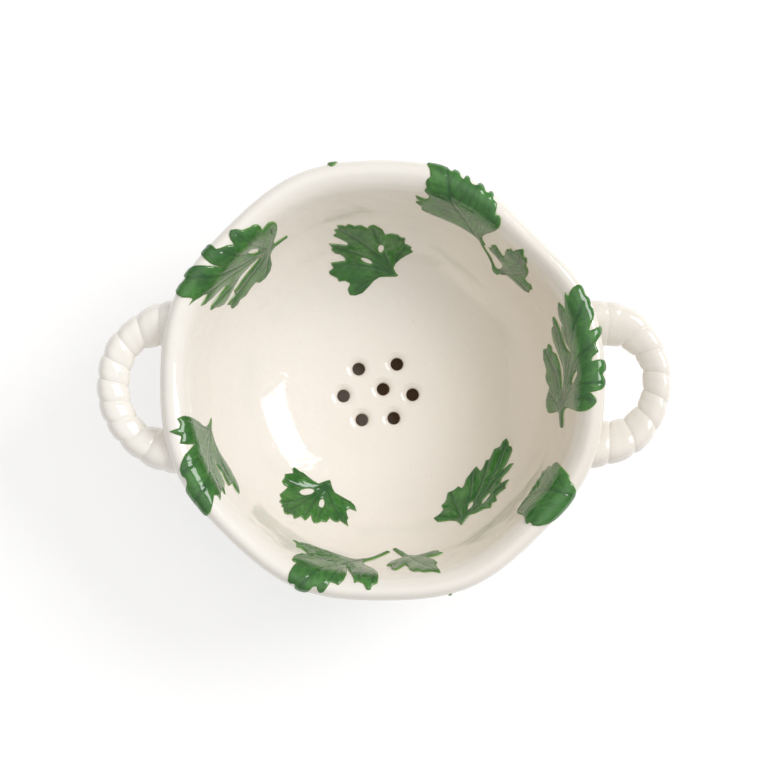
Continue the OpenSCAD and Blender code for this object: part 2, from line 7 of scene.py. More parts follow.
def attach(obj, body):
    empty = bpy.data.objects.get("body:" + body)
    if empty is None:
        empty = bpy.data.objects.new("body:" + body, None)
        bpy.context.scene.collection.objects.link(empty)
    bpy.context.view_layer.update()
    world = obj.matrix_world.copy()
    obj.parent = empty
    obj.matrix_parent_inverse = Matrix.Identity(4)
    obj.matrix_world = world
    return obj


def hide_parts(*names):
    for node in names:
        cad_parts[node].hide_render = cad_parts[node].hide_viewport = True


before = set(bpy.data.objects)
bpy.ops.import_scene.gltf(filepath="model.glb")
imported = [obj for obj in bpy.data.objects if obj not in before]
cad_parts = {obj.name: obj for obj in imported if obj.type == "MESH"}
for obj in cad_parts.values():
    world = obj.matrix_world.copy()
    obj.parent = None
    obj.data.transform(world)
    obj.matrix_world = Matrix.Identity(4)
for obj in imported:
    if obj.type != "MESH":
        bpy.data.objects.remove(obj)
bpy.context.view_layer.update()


def placed(name, data):
    """A new object in the scene."""
    thing = bpy.data.objects.new(name, data)
    bpy.context.collection.objects.link(thing)
    return thing


# Camera. The bowl is seen from almost straight above, a little from its front, with the
# handles left and right. Distances are in metres.
camera_reach, camera_rise, camera_lens = 1.5, radians(86), 156.3
aim = Vector((0.0, -0.00135, 0.083))
camera_data = bpy.data.cameras.new("camera")
camera_data.sensor_width, camera_data.lens = 36, camera_lens
camera = placed("camera", camera_data)
camera.location = aim + camera_reach * Vector((0, -cos(camera_rise), sin(camera_rise)))
camera.rotation_euler = (aim - camera.location).to_track_quat("-Z", "Y").to_euler()
bpy.context.scene.camera = camera


# Bowl. One thrown and pressed earthenware wall, curved floor, rolled lip, covered with a glossy
# cream glaze. Sizes are in millimetres; the wall is walked as legs from the floor's middle.
MM = 0.001
floor_height, bend_radius, wall_lean = 12.5, 54.0, radians(73)
rim_radius, wall_rise, wall_thickness = 100.0, 26.0, 5.0
flare_radius, flare_turn = 12.0, radians(45)
lip_radius, lip_turn, tuck_radius = 4.2, radians(175), 6.0
foot_radius, foot_width = 44.0, 6.0
lip_lift = wall_lean - flare_turn
flat_radius = (rim_radius - bend_radius * sin(wall_lean) - wall_rise * cos(wall_lean)
               - flare_radius * (sin(wall_lean) - sin(lip_lift)) - lip_radius * (1 + sin(lip_lift)))
# How far the pressing moves the wall, as parts of its radius, and how high the lip waves
eight_sides, push_left, draw_long, dent, dent_way = 0.010, 0.007, 0.004, 0.033, radians(47)
ear_draw, back_draw, lip_wave, lip_wave_way = 0.010, 0.021, 0.7, radians(20)


def leg_end(start, length, turn):
    """Radius, height, heading and length walked at the end of one leg, straight or bent."""
    r, z, heading, s = start
    after = heading + turn
    if turn == 0:
        return (r + length * cos(heading), z + length * sin(heading), after, s + length)
    bend = length / turn
    return (r + bend * (sin(after) - sin(heading)),
            z - bend * (cos(after) - cos(heading)), after, s + length)


def leg_marks(legs, start):
    row = [start]
    for length, turn in legs:
        row.append(leg_end(row[-1], length, turn))
    return row


inner_legs = [(flat_radius, 0), (bend_radius * wall_lean, wall_lean), (wall_rise, 0),
              (flare_radius * flare_turn, -flare_turn), (lip_radius * lip_turn, -lip_turn)]
inner_marks = leg_marks(inner_legs, (0, floor_height, 0, 0))
wall_foot, lip_end = np.array(inner_marks[2][:2]), np.array(inner_marks[5][:2])
wall_out = np.array([sin(wall_lean), -cos(wall_lean)])
wall_along = np.array([cos(wall_lean), sin(wall_lean)])
tuck_turn = flare_turn + lip_turn - pi
tuck_length = ((lip_end - wall_foot) @ wall_out - wall_thickness
               - tuck_radius * (1 - cos(tuck_turn))) / sin(tuck_turn)
tuck_legs = [(tuck_length, 0), (tuck_radius * tuck_turn, tuck_turn)]
tuck_end = np.array(leg_marks(tuck_legs, inner_marks[5])[2][:2])
outer_bend = bend_radius + wall_thickness
bend_middle = np.array([flat_radius, floor_height + bend_radius])
outer_drop = (tuck_end - bend_middle - outer_bend * wall_out) @ wall_along
legs = np.array(inner_legs + tuck_legs + [(outer_drop, 0), (outer_bend * wall_lean, -wall_lean)])
marks = np.array(leg_marks(legs.tolist(), (0, floor_height, 0, 0)))
lip_level = marks[4][1]


def walk(s):
    """Radius, height and heading of the wall's profile at lengths s from the floor's middle."""
    s = np.asarray(s, float)
    i = np.clip(np.searchsorted(marks[:, 3], s, side="right") - 1, 0, len(legs) - 1)
    r, z, heading, start = (marks[i, k] for k in range(4))
    part, curve = s - start, legs[i, 1] / legs[i, 0]
    after, bent = heading + curve * part, np.abs(curve) > 1e-9
    curve = np.where(bent, curve, 1)
    return (r + np.where(bent, (np.sin(after) - np.sin(heading)) / curve, part * np.cos(heading)),
            z + np.where(bent, (np.cos(heading) - np.cos(after)) / curve, part * np.sin(heading)), after)


def on_wall(s, way, lift):
    """Points at length s and angle way (degrees), lifted square off the hand-formed wall."""
    r, z, heading = walk(s)
    grown = np.clip((r - foot_radius - foot_width) / (rim_radius - foot_radius - foot_width), 0, 1)
    grown = grown * grown * (3 - 2 * grown)
    a = np.radians(way)
    shape = (-eight_sides * np.cos(8 * a) - push_left * np.cos(a) + draw_long * np.cos(2 * a)
             - dent * np.maximum(0, np.cos(a - dent_way)) ** 14)
    wave = lip_wave * (np.cos(3 * (a - lip_wave_way)) + np.cos(5 * a) / 2)
    drawn = np.clip((r - marks[3][0]) / (rim_radius - marks[3][0]), 0, 1)
    pull = ear_draw * np.abs(np.cos(a)) ** 14 + back_draw * np.maximum(0, np.sin(a)) ** 6
    drawn = pull * drawn * drawn * (3 - 2 * drawn)
    out = (r - lift * np.sin(heading)) * (1 + grown * shape + drawn)
    return np.stack([out * np.cos(a), out * np.sin(a), z + lift * np.cos(heading) + grown * wave], -1)


def shell(name, points, faces, smooth=True, **marked):
    """A mesh piece from points in millimetres, with a named number kept at each point."""
    mesh = bpy.data.meshes.new(name)
    mesh.from_pydata((np.asarray(points) * MM).tolist(), [], [list(map(int, f)) for f in faces])
    for label, values in marked.items():
        marks_of = mesh.attributes.new(label, "FLOAT", "POINT").data
        marks_of.foreach_set("value", np.asarray(values, np.float32))
    mesh.polygons.foreach_set("use_smooth", [smooth] * len(mesh.polygons))
    mesh.update()
    return placed(name, mesh)


def feed(tree, place, value):
    """Gives a socket its value, or links it."""
    if isinstance(value, Wire):
        tree.links.new(value.socket, place)
    else:
        place.default_value = value


class Wire:
    """A node's output that can be used in sums like a number."""
    def __init__(self, tree, socket):
        self.tree, self.socket = tree, socket

    def maths(self, operation, *values):
        node = self.tree.nodes.new("ShaderNodeMath")
        node.operation = operation
        for place, value in zip(node.inputs, values):
            feed(self.tree, place, value)
        return Wire(self.tree, node.outputs[0])

    def __add__(self, other): return self.maths("ADD", self, other)
    def __radd__(self, other): return self.maths("ADD", other, self)
    def __sub__(self, other): return self.maths("SUBTRACT", self, other)
    def __rsub__(self, other): return self.maths("SUBTRACT", other, self)
    def __mul__(self, other): return self.maths("MULTIPLY", self, other)
    def __rmul__(self, other): return self.maths("MULTIPLY", other, self)
    def __truediv__(self, other): return self.maths("DIVIDE", self, other)
    def __pow__(self, other): return self.maths("POWER", self, other)
    def abs(self): return self.maths("ABSOLUTE", self)
    def cos(self): return self.maths("COSINE", self)
    def sin(self): return self.maths("SINE", self)
    def least(self, other): return self.maths("MINIMUM", self, other)
    def most(self, other): return self.maths("MAXIMUM", self, other)

    def step(self, low, high):
        """0 below low, 1 above high, and smooth between."""
        t = ((self - low) / (high - low)).most(0).least(1)
        return t * t * (3 - 2 * t)


def socket_of(sockets, key):
    """A socket by its number, or by its name among those in use."""
    return next(s for s in sockets if s.enabled and s.name == key) if isinstance(key, str) else sockets[key]


def put(tree, kind, settings=None, values=None, out=0):
    """Adds a node: its settings first, then its sockets' values or links. Returns one output."""
    node = tree.nodes.new(kind)
    for key, value in (settings or {}).items():
        setattr(node, key, value)
    for key, value in (values or {}).items():
        feed(tree, socket_of(node.inputs, key), value)
    if len(node.outputs):
        return Wire(tree, socket_of(node.outputs, out))


def colour(red, green, blue):
    """A screen colour, 0 to 255, as the light it stands for."""
    return tuple((c / 255 / 12.92) if c <= 10 else ((c / 255 + 0.055) / 1.055) ** 2.4
                 for c in (red, green, blue)) + (1,)


def mixed(tree, part, a, b):
    """Colour a where part is 0, b where it is 1."""
    return put(tree, "ShaderNodeMix", {"data_type": "RGBA"}, {"Factor": part, "A": a, "B": b}, "Result")


def along(tree, place, axis):
    """How far a place lies along X, Y or Z."""
    return put(tree, "ShaderNodeSeparateXYZ", None, {0: place}, axis)


def finish_of(name):
    """An empty material, its tree and the object's own coordinates."""
    material = bpy.data.materials.new(name)
    material.use_nodes = True
    tree = material.node_tree
    tree.nodes.clear()
    return material, tree, put(tree, "ShaderNodeTexCoord", out="Object")


def cloud(tree, place, scale, detail=2.0, rough=0.5, warp=0.0):
    """Soft irregular spots, as many to the metre as scale says."""
    return put(tree, "ShaderNodeTexNoise", None, {"Vector": place, "Scale": scale, "Detail": detail,
                                                  "Roughness": rough, "Distortion": warp}, "Fac")


def surface(tree, **values):
    """Ends a material in one shader; an underscore stands for the space in a socket's name."""
    values = {label.replace("_", " "): value for label, value in values.items()}
    shader = put(tree, "ShaderNodeBsdfPrincipled", None, values, "BSDF")
    put(tree, "ShaderNodeOutputMaterial", None, {"Surface": shader})


def raised(tree, height, distance, strength, under=None):
    """Relief of the surface, distance metres high where height is 1, over any relief under it."""
    values = {"Height": height, "Distance": distance, "Strength": strength}
    if under is not None:
        values["Normal"] = under
    return put(tree, "ShaderNodeBump", None, values, "Normal")


def cream_glaze(name):
    """Glossy cream glaze: slow drifts of tint, another tint inside and where it pooled, and painted shade
    that makes it darker and warmer toward the right.
    """
    material, tree, place = finish_of(name)
    pooled = put(tree, "ShaderNodeAttribute", {"attribute_name": "pooled"}, out="Fac")
    drift, cloudy = cloud(tree, place, 14, 3, 0.55), cloud(tree, place, 60, 3, 0.5, 0.4)
    side = along(tree, place, "X")
    # Painted shade: the glaze is painted darker toward the right side of the bowl.
    body = mixed(tree, side.step(-0.09, 0.12), colour(252, 248, 240), colour(234, 228, 218))
    body = mixed(tree, drift.step(0.35, 0.65) * 0.4, body, colour(246, 240, 232))
    body = mixed(tree, cloudy.step(0.55, 0.75) * 0.3, body, colour(241, 234, 223))
    # Painted shade inside: darker and warmer toward the right wall, and a little darker at the far left.
    inner = mixed(tree, side.step(-0.07, 0.0), colour(247, 239, 232), colour(250, 241, 231))
    inner = mixed(tree, side.step(0.0, 0.08), inner, colour(244, 230, 210))
    body = mixed(tree, pooled.least(1), body, inner)
    specks = cloud(tree, place, 900, 1)
    body = mixed(tree, specks.step(0.72, 0.78) * 0.25, body, colour(205, 186, 156))
    slow, fine = cloud(tree, place, 22, 2, 0.4), cloud(tree, place, 130, 2, 0.45)
    wavy = raised(tree, slow, 0.0016, 0.5)
    rippled = raised(tree, fine * (1 + 1.3 * pooled), 0.00025, 0.8, wavy)
    surface(tree, Base_Color=body, Roughness=0.07 + 0.06 * cloudy, IOR=1.52, Coat_Weight=0.5,
            Coat_Roughness=0.02, Normal=rippled)
    return material


glaze = cream_glaze("cream_glaze")

ways, hole_ways, hole_edge_radius = 288, 40, 6.2
drain_places = [(-0.4, 1.0), (-11.9, 10.5), (6.1, 12.8), (-19.1, -2.2), (13.5, -1.6), (-10.4, -13.5),
                (4.6, -12.7)]
# How far glaze has pooled inside and deep in a hole (0 to 1) and how gently that fades to the lip,
# then the floor net's pitch, reach and distance from a hole
inner_pool, deep_pool, pool_fade, floor_pitch, floor_reach, hole_room = 0.75, 0.62, 12, 2.0, 28, 0.8


def circle(radius, count, x=0, y=0):
    """Points round a circle about x and y."""
    turns = [2 * pi * k / count for k in range(count)]
    return [(x + radius * cos(a), y + radius * sin(a)) for a in turns]


def hoops(count, ways, closed=False):
    """Four-sided faces between rings of points, and from the last ring to the first if closed."""
    return [(a * ways + k, a * ways + (k + 1) % ways, (a + 1) % count * ways + (k + 1) % ways,
             (a + 1) % count * ways + k) for a in range(count - (not closed)) for k in range(ways)]


def steps(leg, pitch):
    """Lengths along one leg of the profile, about pitch apart, its end among them."""
    count = max(1, round(legs[leg][0] / pitch))
    return marks[leg][3] + legs[leg][0] * np.arange(1, count + 1) / count


leg_pitches = (1.6, 2.2, 0.7, 0.42, 0.7, 0.45, 2.2, 2.0)
rows = np.concatenate([[marks[1][3]]] + [steps(leg, pitch) for leg, pitch in enumerate(leg_pitches, 1)])
way_row = np.arange(ways) * 360 / ways
wall_points = on_wall(rows[:, None], way_row[None, :], 0.0).reshape(-1, 3)
wall_pool = np.repeat(inner_pool * np.clip((marks[4][3] - rows) / pool_fade, 0, 1), ways)
# The wall is walked from the inside out, so its faces are turned over
wall_faces = [face[:1] + face[:0:-1] for face in hoops(len(rows), ways)]


def pierced_disc(height, up):
    """The flat round middle of the floor with its holes left open."""
    spots = [(flat_radius * cos(radians(w)), flat_radius * sin(radians(w))) for w in way_row]
    edges = [(k, (k + 1) % ways) for k in range(ways)]
    for x, y in drain_places:
        first = len(spots)
        spots += circle(hole_edge_radius, hole_ways, x, y)
        edges += [(first + k, first + (k + 1) % hole_ways) for k in range(hole_ways)]
    net = np.arange(-floor_reach, floor_reach + 0.1, floor_pitch)
    for x, y in ((x, y) for x in net for y in net if hypot(x, y) < flat_radius - 1):
        if all(hypot(x - a, y - b) > hole_edge_radius + hole_room for a, b in drain_places):
            spots.append((x, y))
    flat, _, faces = geometry.delaunay_2d_cdt([Vector(p) for p in spots], edges, [], 0, 1e-7)[:3]
    kept = []
    for face in faces:
        x, y = (sum(flat[v][k] for v in face) / 3 for k in (0, 1))
        if all(hypot(x - a, y - b) > hole_edge_radius for a, b in drain_places):
            kept.append(list(face) if up else list(face)[::-1])
    return np.array([(p.x, p.y, height) for p in flat]), kept


# The edge of one drain hole, pressed through by hand and rounded over by the glaze. Its mouth
# leans most, toward the back and the left, and the bore under it less.
hole_path = [(6.2, 0), (5.85, -0.02), (5.5, -0.07), (5.15, -0.16), (4.8, -0.28), (4.45, -0.43), (4.1, -0.6),
             (3.75, -0.83), (3.42, -1.14), (3.15, -1.55), (2.98, -2.05), (2.9, -2.7), (2.88, -3.3),
             (2.9, -4.0), (3.0, -4.5), (3.3, -4.85), (3.8, -5.0), (6.2, -5.0)]
mouth_lean, bore_lean, lean_reach, mouth_depth = (-0.25, 0.6), (-0.05, 0.3), 1.4, 0.7
hole_points = []
for r, z in hole_path:
    drift, depth = min(1, (hole_edge_radius - r) / lean_reach), min(1, max(0, -z - mouth_depth))
    lean_x, lean_y = (drift * (m + (b - m) * depth) for m, b in zip(mouth_lean, bore_lean))
    hole_points += [(*spot, floor_height + z) for spot in circle(r, hole_ways, lean_x, lean_y)]
hole_pool = np.repeat([inner_pool if r < 4.2 and z > -2.2 else deep_pool for r, z in hole_path], hole_ways)
hole_edge = shell("hole_edge", hole_points, hoops(len(hole_path), hole_ways), pooled=hole_pool)
pattern = shell("drain_pattern", [(x, y, 0) for x, y in drain_places], [])


def nodes_piece(name, base, build, **given):
    """Runs a Geometry Nodes tree on a piece, with named inputs, and keeps the result as a plain mesh.
    An underscore stands for the space in an input's name."""
    tree = bpy.data.node_groups.new(name, "GeometryNodeTree")
    tree.interface.new_socket("Geometry", in_out="OUTPUT", socket_type="NodeSocketGeometry")
    tree.interface.new_socket("Geometry", in_out="INPUT", socket_type="NodeSocketGeometry")
    values = {}
    for label, value in given.items():
        kind = "NodeSocket" + ("Float" if isinstance(value, float) else type(value).__name__)
        socket = tree.interface.new_socket(label.replace("_", " "), in_out="INPUT", socket_type=kind)
        values[socket.identifier] = value
    source = tree.nodes.new("NodeGroupInput")
    result = build(tree, {s.name: Wire(tree, s) for s in source.outputs if s.name})
    feed(tree, tree.nodes.new("NodeGroupOutput").inputs[0], result)
    modifier = base.modifiers.new(name, "NODES")
    modifier.node_group = tree
    for identifier, value in values.items():
        modifier[identifier] = value
    made = bpy.data.meshes.new_from_object(base.evaluated_get(bpy.context.evaluated_depsgraph_get()))
    base.modifiers.remove(modifier)
    bpy.data.objects.remove(base)
    return placed(name, made)


def pierce(tree, given):
    """Sets the hole's edge at each place of the pattern."""
    edge = put(tree, "GeometryNodeObjectInfo", {"transform_space": "RELATIVE"},
               {"Object": given["Hole edge"]}, "Geometry")
    spots = put(tree, "GeometryNodeMeshToPoints", None, {"Mesh": given["Geometry"]})
    many = put(tree, "GeometryNodeInstanceOnPoints", None, {"Points": spots, "Instance": edge})
    real = put(tree, "GeometryNodeRealizeInstances", None, {"Geometry": many})
    return put(tree, "GeometryNodeSetMaterial", None, {"Geometry": real, "Material": given["Glaze"]})


drains = nodes_piece("drain_edges", pattern, pierce, Hole_edge=hole_edge, Glaze=glaze)
bpy.data.objects.remove(hole_edge)


def joined(name, pieces, near):
    """Makes one closed mesh of several by joining them and merging the points that meet."""
    bpy.ops.object.select_all(action="DESELECT")
    for piece in pieces:
        piece.select_set(True)
    bpy.context.view_layer.objects.active = pieces[0]
    bpy.ops.object.join()
    bpy.ops.object.mode_set(mode="EDIT")
    bpy.ops.mesh.select_all(action="SELECT")
    bpy.ops.mesh.remove_doubles(threshold=near)
    bpy.ops.object.mode_set(mode="OBJECT")
    piece = bpy.context.view_layer.objects.active
    piece.name = name
    return piece


def glazed(piece, material):
    piece.data.materials.clear()
    piece.data.materials.append(material)
    return piece


top_points, top_faces = pierced_disc(floor_height, True)
under_points, under_faces = pierced_disc(floor_height - wall_thickness, False)
wall = shell("wall", wall_points, wall_faces, pooled=wall_pool)
top = shell("floor_top", top_points, top_faces, pooled=np.full(len(top_points), inner_pool))
under = shell("floor_under", under_points, under_faces, pooled=np.zeros(len(under_points)))
bowl = glazed(joined("glazed_bowl", [wall, top, under, drains], 2e-6), glaze)
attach(bowl, "root")
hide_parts("bowl_body")


# Foot ring. A turned ring of the same clay luted under the bowl, glazed down to its foot and
# wiped bare where it stands.
def bare_foot(name):
    """Cream glaze down to an uneven line just over the table, and bare gritty clay under it."""
    material, tree, place = finish_of(name)
    height = along(tree, place, "Z")
    line = cloud(tree, place, 55, 3)
    bare = 1 - (height / MM + (line - 0.5) * 1.6).step(1.2, 1.7)
    grain, coarse = cloud(tree, place, 2200, 3, 0.6), cloud(tree, place, 320, 3, 0.6)
    clay = mixed(tree, coarse.step(0.4, 0.7), colour(214, 190, 156), colour(196, 168, 132))
    coat = mixed(tree, line.step(0.4, 0.65), colour(240, 231, 220), colour(233, 222, 206))
    surface(tree, Base_Color=mixed(tree, bare, coat, clay), Roughness=0.14 + bare * 0.66, IOR=1.5,
            Normal=raised(tree, grain * bare, 0.00025, 0.6))
    return material


foot_path = [(38.0, 0.5), (38.15, 0.15), (38.6, 0.0), (43.4, 0.0), (43.85, 0.15), (44.0, 0.5), (44.25, 3.0),
             (45.0, 7.0), (45.9, 9.3), (47.0, 10.9), (46.6, 11.6), (36.2, 9.0), (35.4, 8.3), (36.6, 7.7),
             (37.4, 5.5), (37.85, 2.5)]
foot_ways = 192
foot_points = [(*spot, z) for r, z in foot_path for spot in circle(r, foot_ways)]
foot_faces = hoops(len(foot_path), foot_ways, closed=True)
foot = glazed(shell("turned_foot_ring", foot_points, foot_faces), bare_foot("bare_foot_clay"))
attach(foot, "root")
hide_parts("foot_ring")


# Rope handles. A roll of clay twisted so that one groove winds round it, bent into an ear and
# luted under the lip. Each is swept along its path by Geometry Nodes.
rope_left = [(-86.5, 24.8, 12.2), (-92, 26.2, 13.8), (-98.3, 26.7, 13.8), (-104.9, 25.5, 13.6),
             (-110.8, 22.9, 13.3), (-116.4, 18.7, 13), (-120.4, 12.4, 12.7), (-122.4, 5, 12.5),
             (-122.8, -3.2, 12.4), (-121.6, -10.3, 12.5), (-118.6, -17.2, 12.8), (-113.4, -23.8, 13.2),
             (-107.2, -27.8, 13.5), (-100, -29.8, 13.7), (-92.5, -30, 13.8), (-85.7, -28.1, 12.2)]
rope_right = [(85.9, -26.5, 12.4), (92, -28.2, 13.8), (100.3, -27.1, 13.6), (107, -25.6, 13.3),
              (113.1, -22.3, 13), (118.7, -16.1, 12.7), (122.1, -9.3, 12.5), (123.6, -2, 12.4),
              (123.6, 5.2, 12.5), (121.5, 12.6, 12.7), (117.3, 18.9, 13), (111.4, 24.3, 13.3),
              (104.5, 26.7, 13.6), (97.8, 27.1, 13.8), (91.5, 26.6, 13.8), (86.3, 24.9, 12.4)]
rope_rings, rope_ways, press, rope_round, rope_lean = 420, 64, 0.68, 0.86, radians(25)
groove_depth, soft_groove, sharp_groove = 0.95, 0.62, 0.38
sway, sways, seam_depth, seam_width, smooth_over, swell_end = 0.16, 95, 0.5, 0.03, 0.12, 0.85


def smooth_path(points, per_span=12):
    """Points along one smooth curve through the given ones."""
    p = np.array(points, float)
    row = []
    for k in range(len(p) - 1):
        a, b, c, d = p[max(k - 1, 0)], p[k], p[k + 1], p[min(k + 2, len(p) - 1)]
        for u in np.arange(per_span) / per_span:
            row.append(0.5 * (2 * b + (c - a) * u + (2 * a - 5 * b + 4 * c - d) * u * u
                              + (3 * b - a - 3 * c + d) * u ** 3))
    return np.array(row + [p[-1]])


def vector(tree, operation, *values, out="Vector"):
    return put(tree, "ShaderNodeVectorMath", {"operation": operation}, dict(enumerate(values)), out)


def scaled(tree, value, size):
    return put(tree, "ShaderNodeVectorMath", {"operation": "SCALE"}, {0: value, "Scale": size}, "Vector")


def kept(tree, shape, kind, label, value):
    return put(tree, "GeometryNodeStoreNamedAttribute", {"data_type": kind},
               {"Geometry": shape, "Name": label, "Value": value})


def named(tree, kind, label):
    return put(tree, "GeometryNodeInputNamedAttribute", {"data_type": kind}, {"Name": label}, "Attribute")


def twist_rope(tree, given):
    """A round ring swept along the path, then pressed to a leaning oval and grooved."""
    path = put(tree, "GeometryNodeMeshToCurve", None, {"Mesh": given["Geometry"]})
    path = put(tree, "GeometryNodeResampleCurve", None, {"Curve": path, "Count": rope_rings})
    path = put(tree, "GeometryNodeSetCurveNormal", {"mode": "Z_UP"}, {"Curve": path})
    path = kept(tree, path, "FLOAT_VECTOR", "middle", put(tree, "GeometryNodeInputPosition"))
    path = kept(tree, path, "FLOAT_VECTOR", "ahead", put(tree, "GeometryNodeInputTangent"))
    path = kept(tree, path, "FLOAT", "run", put(tree, "GeometryNodeSplineParameter", out="Length"))
    path = kept(tree, path, "FLOAT", "part", put(tree, "GeometryNodeSplineParameter", out="Factor"))
    ring = put(tree, "GeometryNodeCurvePrimitiveCircle", {"mode": "RADIUS"},
               {"Resolution": rope_ways, "Radius": MM}, "Curve")
    rope = put(tree, "GeometryNodeCurveToMesh", None,
               {"Curve": path, "Profile Curve": ring, "Fill Caps": True})
    middle, ahead = named(tree, "FLOAT_VECTOR", "middle"), named(tree, "FLOAT_VECTOR", "ahead")
    run, part = named(tree, "FLOAT", "run"), named(tree, "FLOAT", "part")
    side = vector(tree, "NORMALIZE", vector(tree, "CROSS_PRODUCT", (0, 0, 1), ahead))
    up = vector(tree, "CROSS_PRODUCT", ahead, side)
    out = vector(tree, "SUBTRACT", put(tree, "GeometryNodeInputPosition"), middle)
    rise = vector(tree, "DOT_PRODUCT", out, up, out="Value")
    way = rise.maths("ARCTAN2", rise, vector(tree, "DOT_PRODUCT", out, side, out="Value"))
    twist = run * (2 * pi) / given["Strand pitch"] + given["Strand start"] + sway * (run * sways).sin()
    notch = ((way + twist) / 2).cos().abs()
    smooth = part.step(given["Smooth from"], given["Smooth from"] + smooth_over)
    fade = (1 - ((part * 2 - 1).abs()) ** 8) * (1 - smooth)
    seam = 1 - ((part - given["Seam at"] + 0.012 * way.sin()).abs() / seam_width).least(1)
    groove = soft_groove * notch ** 5 + sharp_groove * notch ** 60
    deep = given["Groove depth"] * (fade * groove + seam_depth * seam * seam)
    swell = given["Root swell"] * (part * 2 - 1).abs().step(given["Swell from"], swell_end)
    half = given["Thickness"] / 2 * (1 + swell) - deep
    lean_cos, lean_sin = cos(rope_lean), sin(rope_lean)
    wide = vector(tree, "SUBTRACT", scaled(tree, side, lean_cos), scaled(tree, up, lean_sin))
    tall = vector(tree, "ADD", scaled(tree, side, lean_sin * press), scaled(tree, up, lean_cos * press))
    across, height = (v.maths("SIGN", v) * v.abs() ** rope_round for v in (way.cos(), way.sin()))
    oval = vector(tree, "ADD", scaled(tree, wide, across * half), scaled(tree, tall, height * half))
    rope = put(tree, "GeometryNodeSetPosition", None,
               {"Geometry": rope, "Position": vector(tree, "ADD", middle, oval)})
    real = put(tree, "GeometryNodeRealizeInstances", None, {"Geometry": rope})
    real = put(tree, "GeometryNodeSetShadeSmooth", None, {"Geometry": real})
    return put(tree, "GeometryNodeSetMaterial", None, {"Geometry": real, "Material": given["Glaze"]})


# The thickness is what shows from above of the leaning oval. Swell, smoothing and seam are
# given as parts of the rope's run, and 2 is past its end.
seen_width = hypot(cos(rope_lean), press * sin(rope_lean))
for side, path, thickness, swell, swell_from, pitch, start, smooth_from, seam in (
        ("left", rope_left, 14.4, 0.5, 0.42, 9.0, 315, 2.0, 2.0),
        ("right", rope_right, 12.8, 0.62, 0.1, 10.4, 25, 0.74, 0.862)):
    middle = smooth_path(path)
    middle[:, 2] = lip_level - middle[:, 2]
    core = shell("core_" + side, middle, [])
    core.data.edges.add(len(middle) - 1)
    core.data.edges.foreach_set("vertices", [v for k in range(len(middle) - 1) for v in (k, k + 1)])
    core.data.update()
    handle = nodes_piece("rope_handle_" + side, core, twist_rope, Thickness=thickness / seen_width * MM,
                         Groove_depth=groove_depth * MM, Strand_pitch=pitch * MM,
                         Strand_start=radians(start), Smooth_from=smooth_from, Root_swell=swell,
                         Swell_from=swell_from, Seam_at=seam, Glaze=glaze)
    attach(handle, "root")
    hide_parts("handle_" + side)


# Leaf sprigs. Leaves pressed from thin clay, laid over the damp wall and painted with a green
# glaze. Their points are in millimetres, across the leaf and then along it.
def leaf_kind(outline, veins="", *side_veins):
    """A kind of leaf: its outline round from the stalk, its main veins, each from the leaf's base
    through a bend to a lobe's tip, and how far apart, how slanted (degrees) and how long its side
    veins are."""
    rows = [np.array([float(n) for n in text.replace(",", " ").split()]).reshape(-1, 2)
            for text in (outline, veins)]
    return rows + [side_veins]


crown = leaf_kind("""
    1.8,0.8 2.8,2.2 5,3.2 9,4.2 13,5.8 15.8,7.5 18.2,9.8 19.8,12.6 19.4,15 17,16.2 15.4,17 17.2,18.2
    18.6,20.4 18.2,22.6 17,24.2 15.6,27.5 15.8,30.5 15.2,33.3 13,33.8 11,33 9.2,31 8.6,34.5 7.4,37.5
    6.8,39.6 8,41 9.4,42.8 10.2,44.8 9,46.6 6.4,48.4 4.4,47.4 2.6,45.2 1,42.8 0,40.4 -1,36.6 -0.2,41 0,46
    0.1,50 -0.1,53.6 -1.2,56 -3,57.6 -4.4,55.4 -5.6,56.8 -6.2,59.6 -8.3,62.4 -10.6,61.4 -12,58.4 -12.1,54.6
    -12.6,52.8 -15,56 -13.5,52 -12.2,46 -12.5,42.5 -14,44 -16.5,48 -17.5,44 -17,38 -15.5,33 -14,29 -15,27
    -18,31 -21,37 -23.5,37.5 -24,33 -25.5,29 -26,25 -24,22 -20,20 -17,19 -13,17 -9,13 -6,10 -5,8 -6,7
    -10,9.5 -15,13 -20,16 -21.5,18 -24.5,15.5 -26,19 -28,21 -29,18 -32,16 -31,12 -29,11 -28,7 -24,4 -22,2
    -23,-1 -21,-4 -17,-5.8 -13,-5 -9,-2.5 -6,-0.5 -3,0 -0.6,-0.8 2,-3.6 4.2,-6 5.8,-5 4,-2.2""", """
    -2,3 7,6 16,12 -2,3 6,16 14,31 -2,3 3,24 9,50 -2,3 -4,28 -5,60 -2,3 -8,27 -13,54 -2,3 -12,16 -22,35
    -2,3 -14,8 -28,18 -2,3 -9,0 -20,-3""", 4.6, 40, 4.5)
vine = leaf_kind("""
    0.3,0 0.5,2 1.5,4.5 4,5.5 8,5.5 12,5 15,4.5 15,6.5 16.5,7 16,9 15.5,11 18.5,13 17,15 17.5,17 16,20
    13.5,21.5 15.5,25 16,31 14,32 12,31.5 12.5,36 10.5,38 10.5,42 8.5,42 8.5,45 7.5,47 6,44 4.5,46 3,43
    1,43.5 0.5,39 0,33 -1,32 -2,36 -3.5,42.5 -5,38.5 -6,38.5 -7,35 -6.5,32 -7,28.5 -8,27 -10,31 -11.5,34
    -13,30.5 -15,32 -16,30 -16,25 -17,23 -15.5,20 -15.5,16.5 -18,16 -19.5,13 -18.5,10 -16,7.5 -12,7 -9,7
    -6,6 -3,2.5 -1,0.5""", """
    0,2 5,14 14,30 0,2 3,22 6,45 0,2 -2,20 -4,41 0,2 -6,18 -11,32 0,2 -8,8 -17,12 0,2 8,8 17,9""",
    4.6, 42, 4.2)
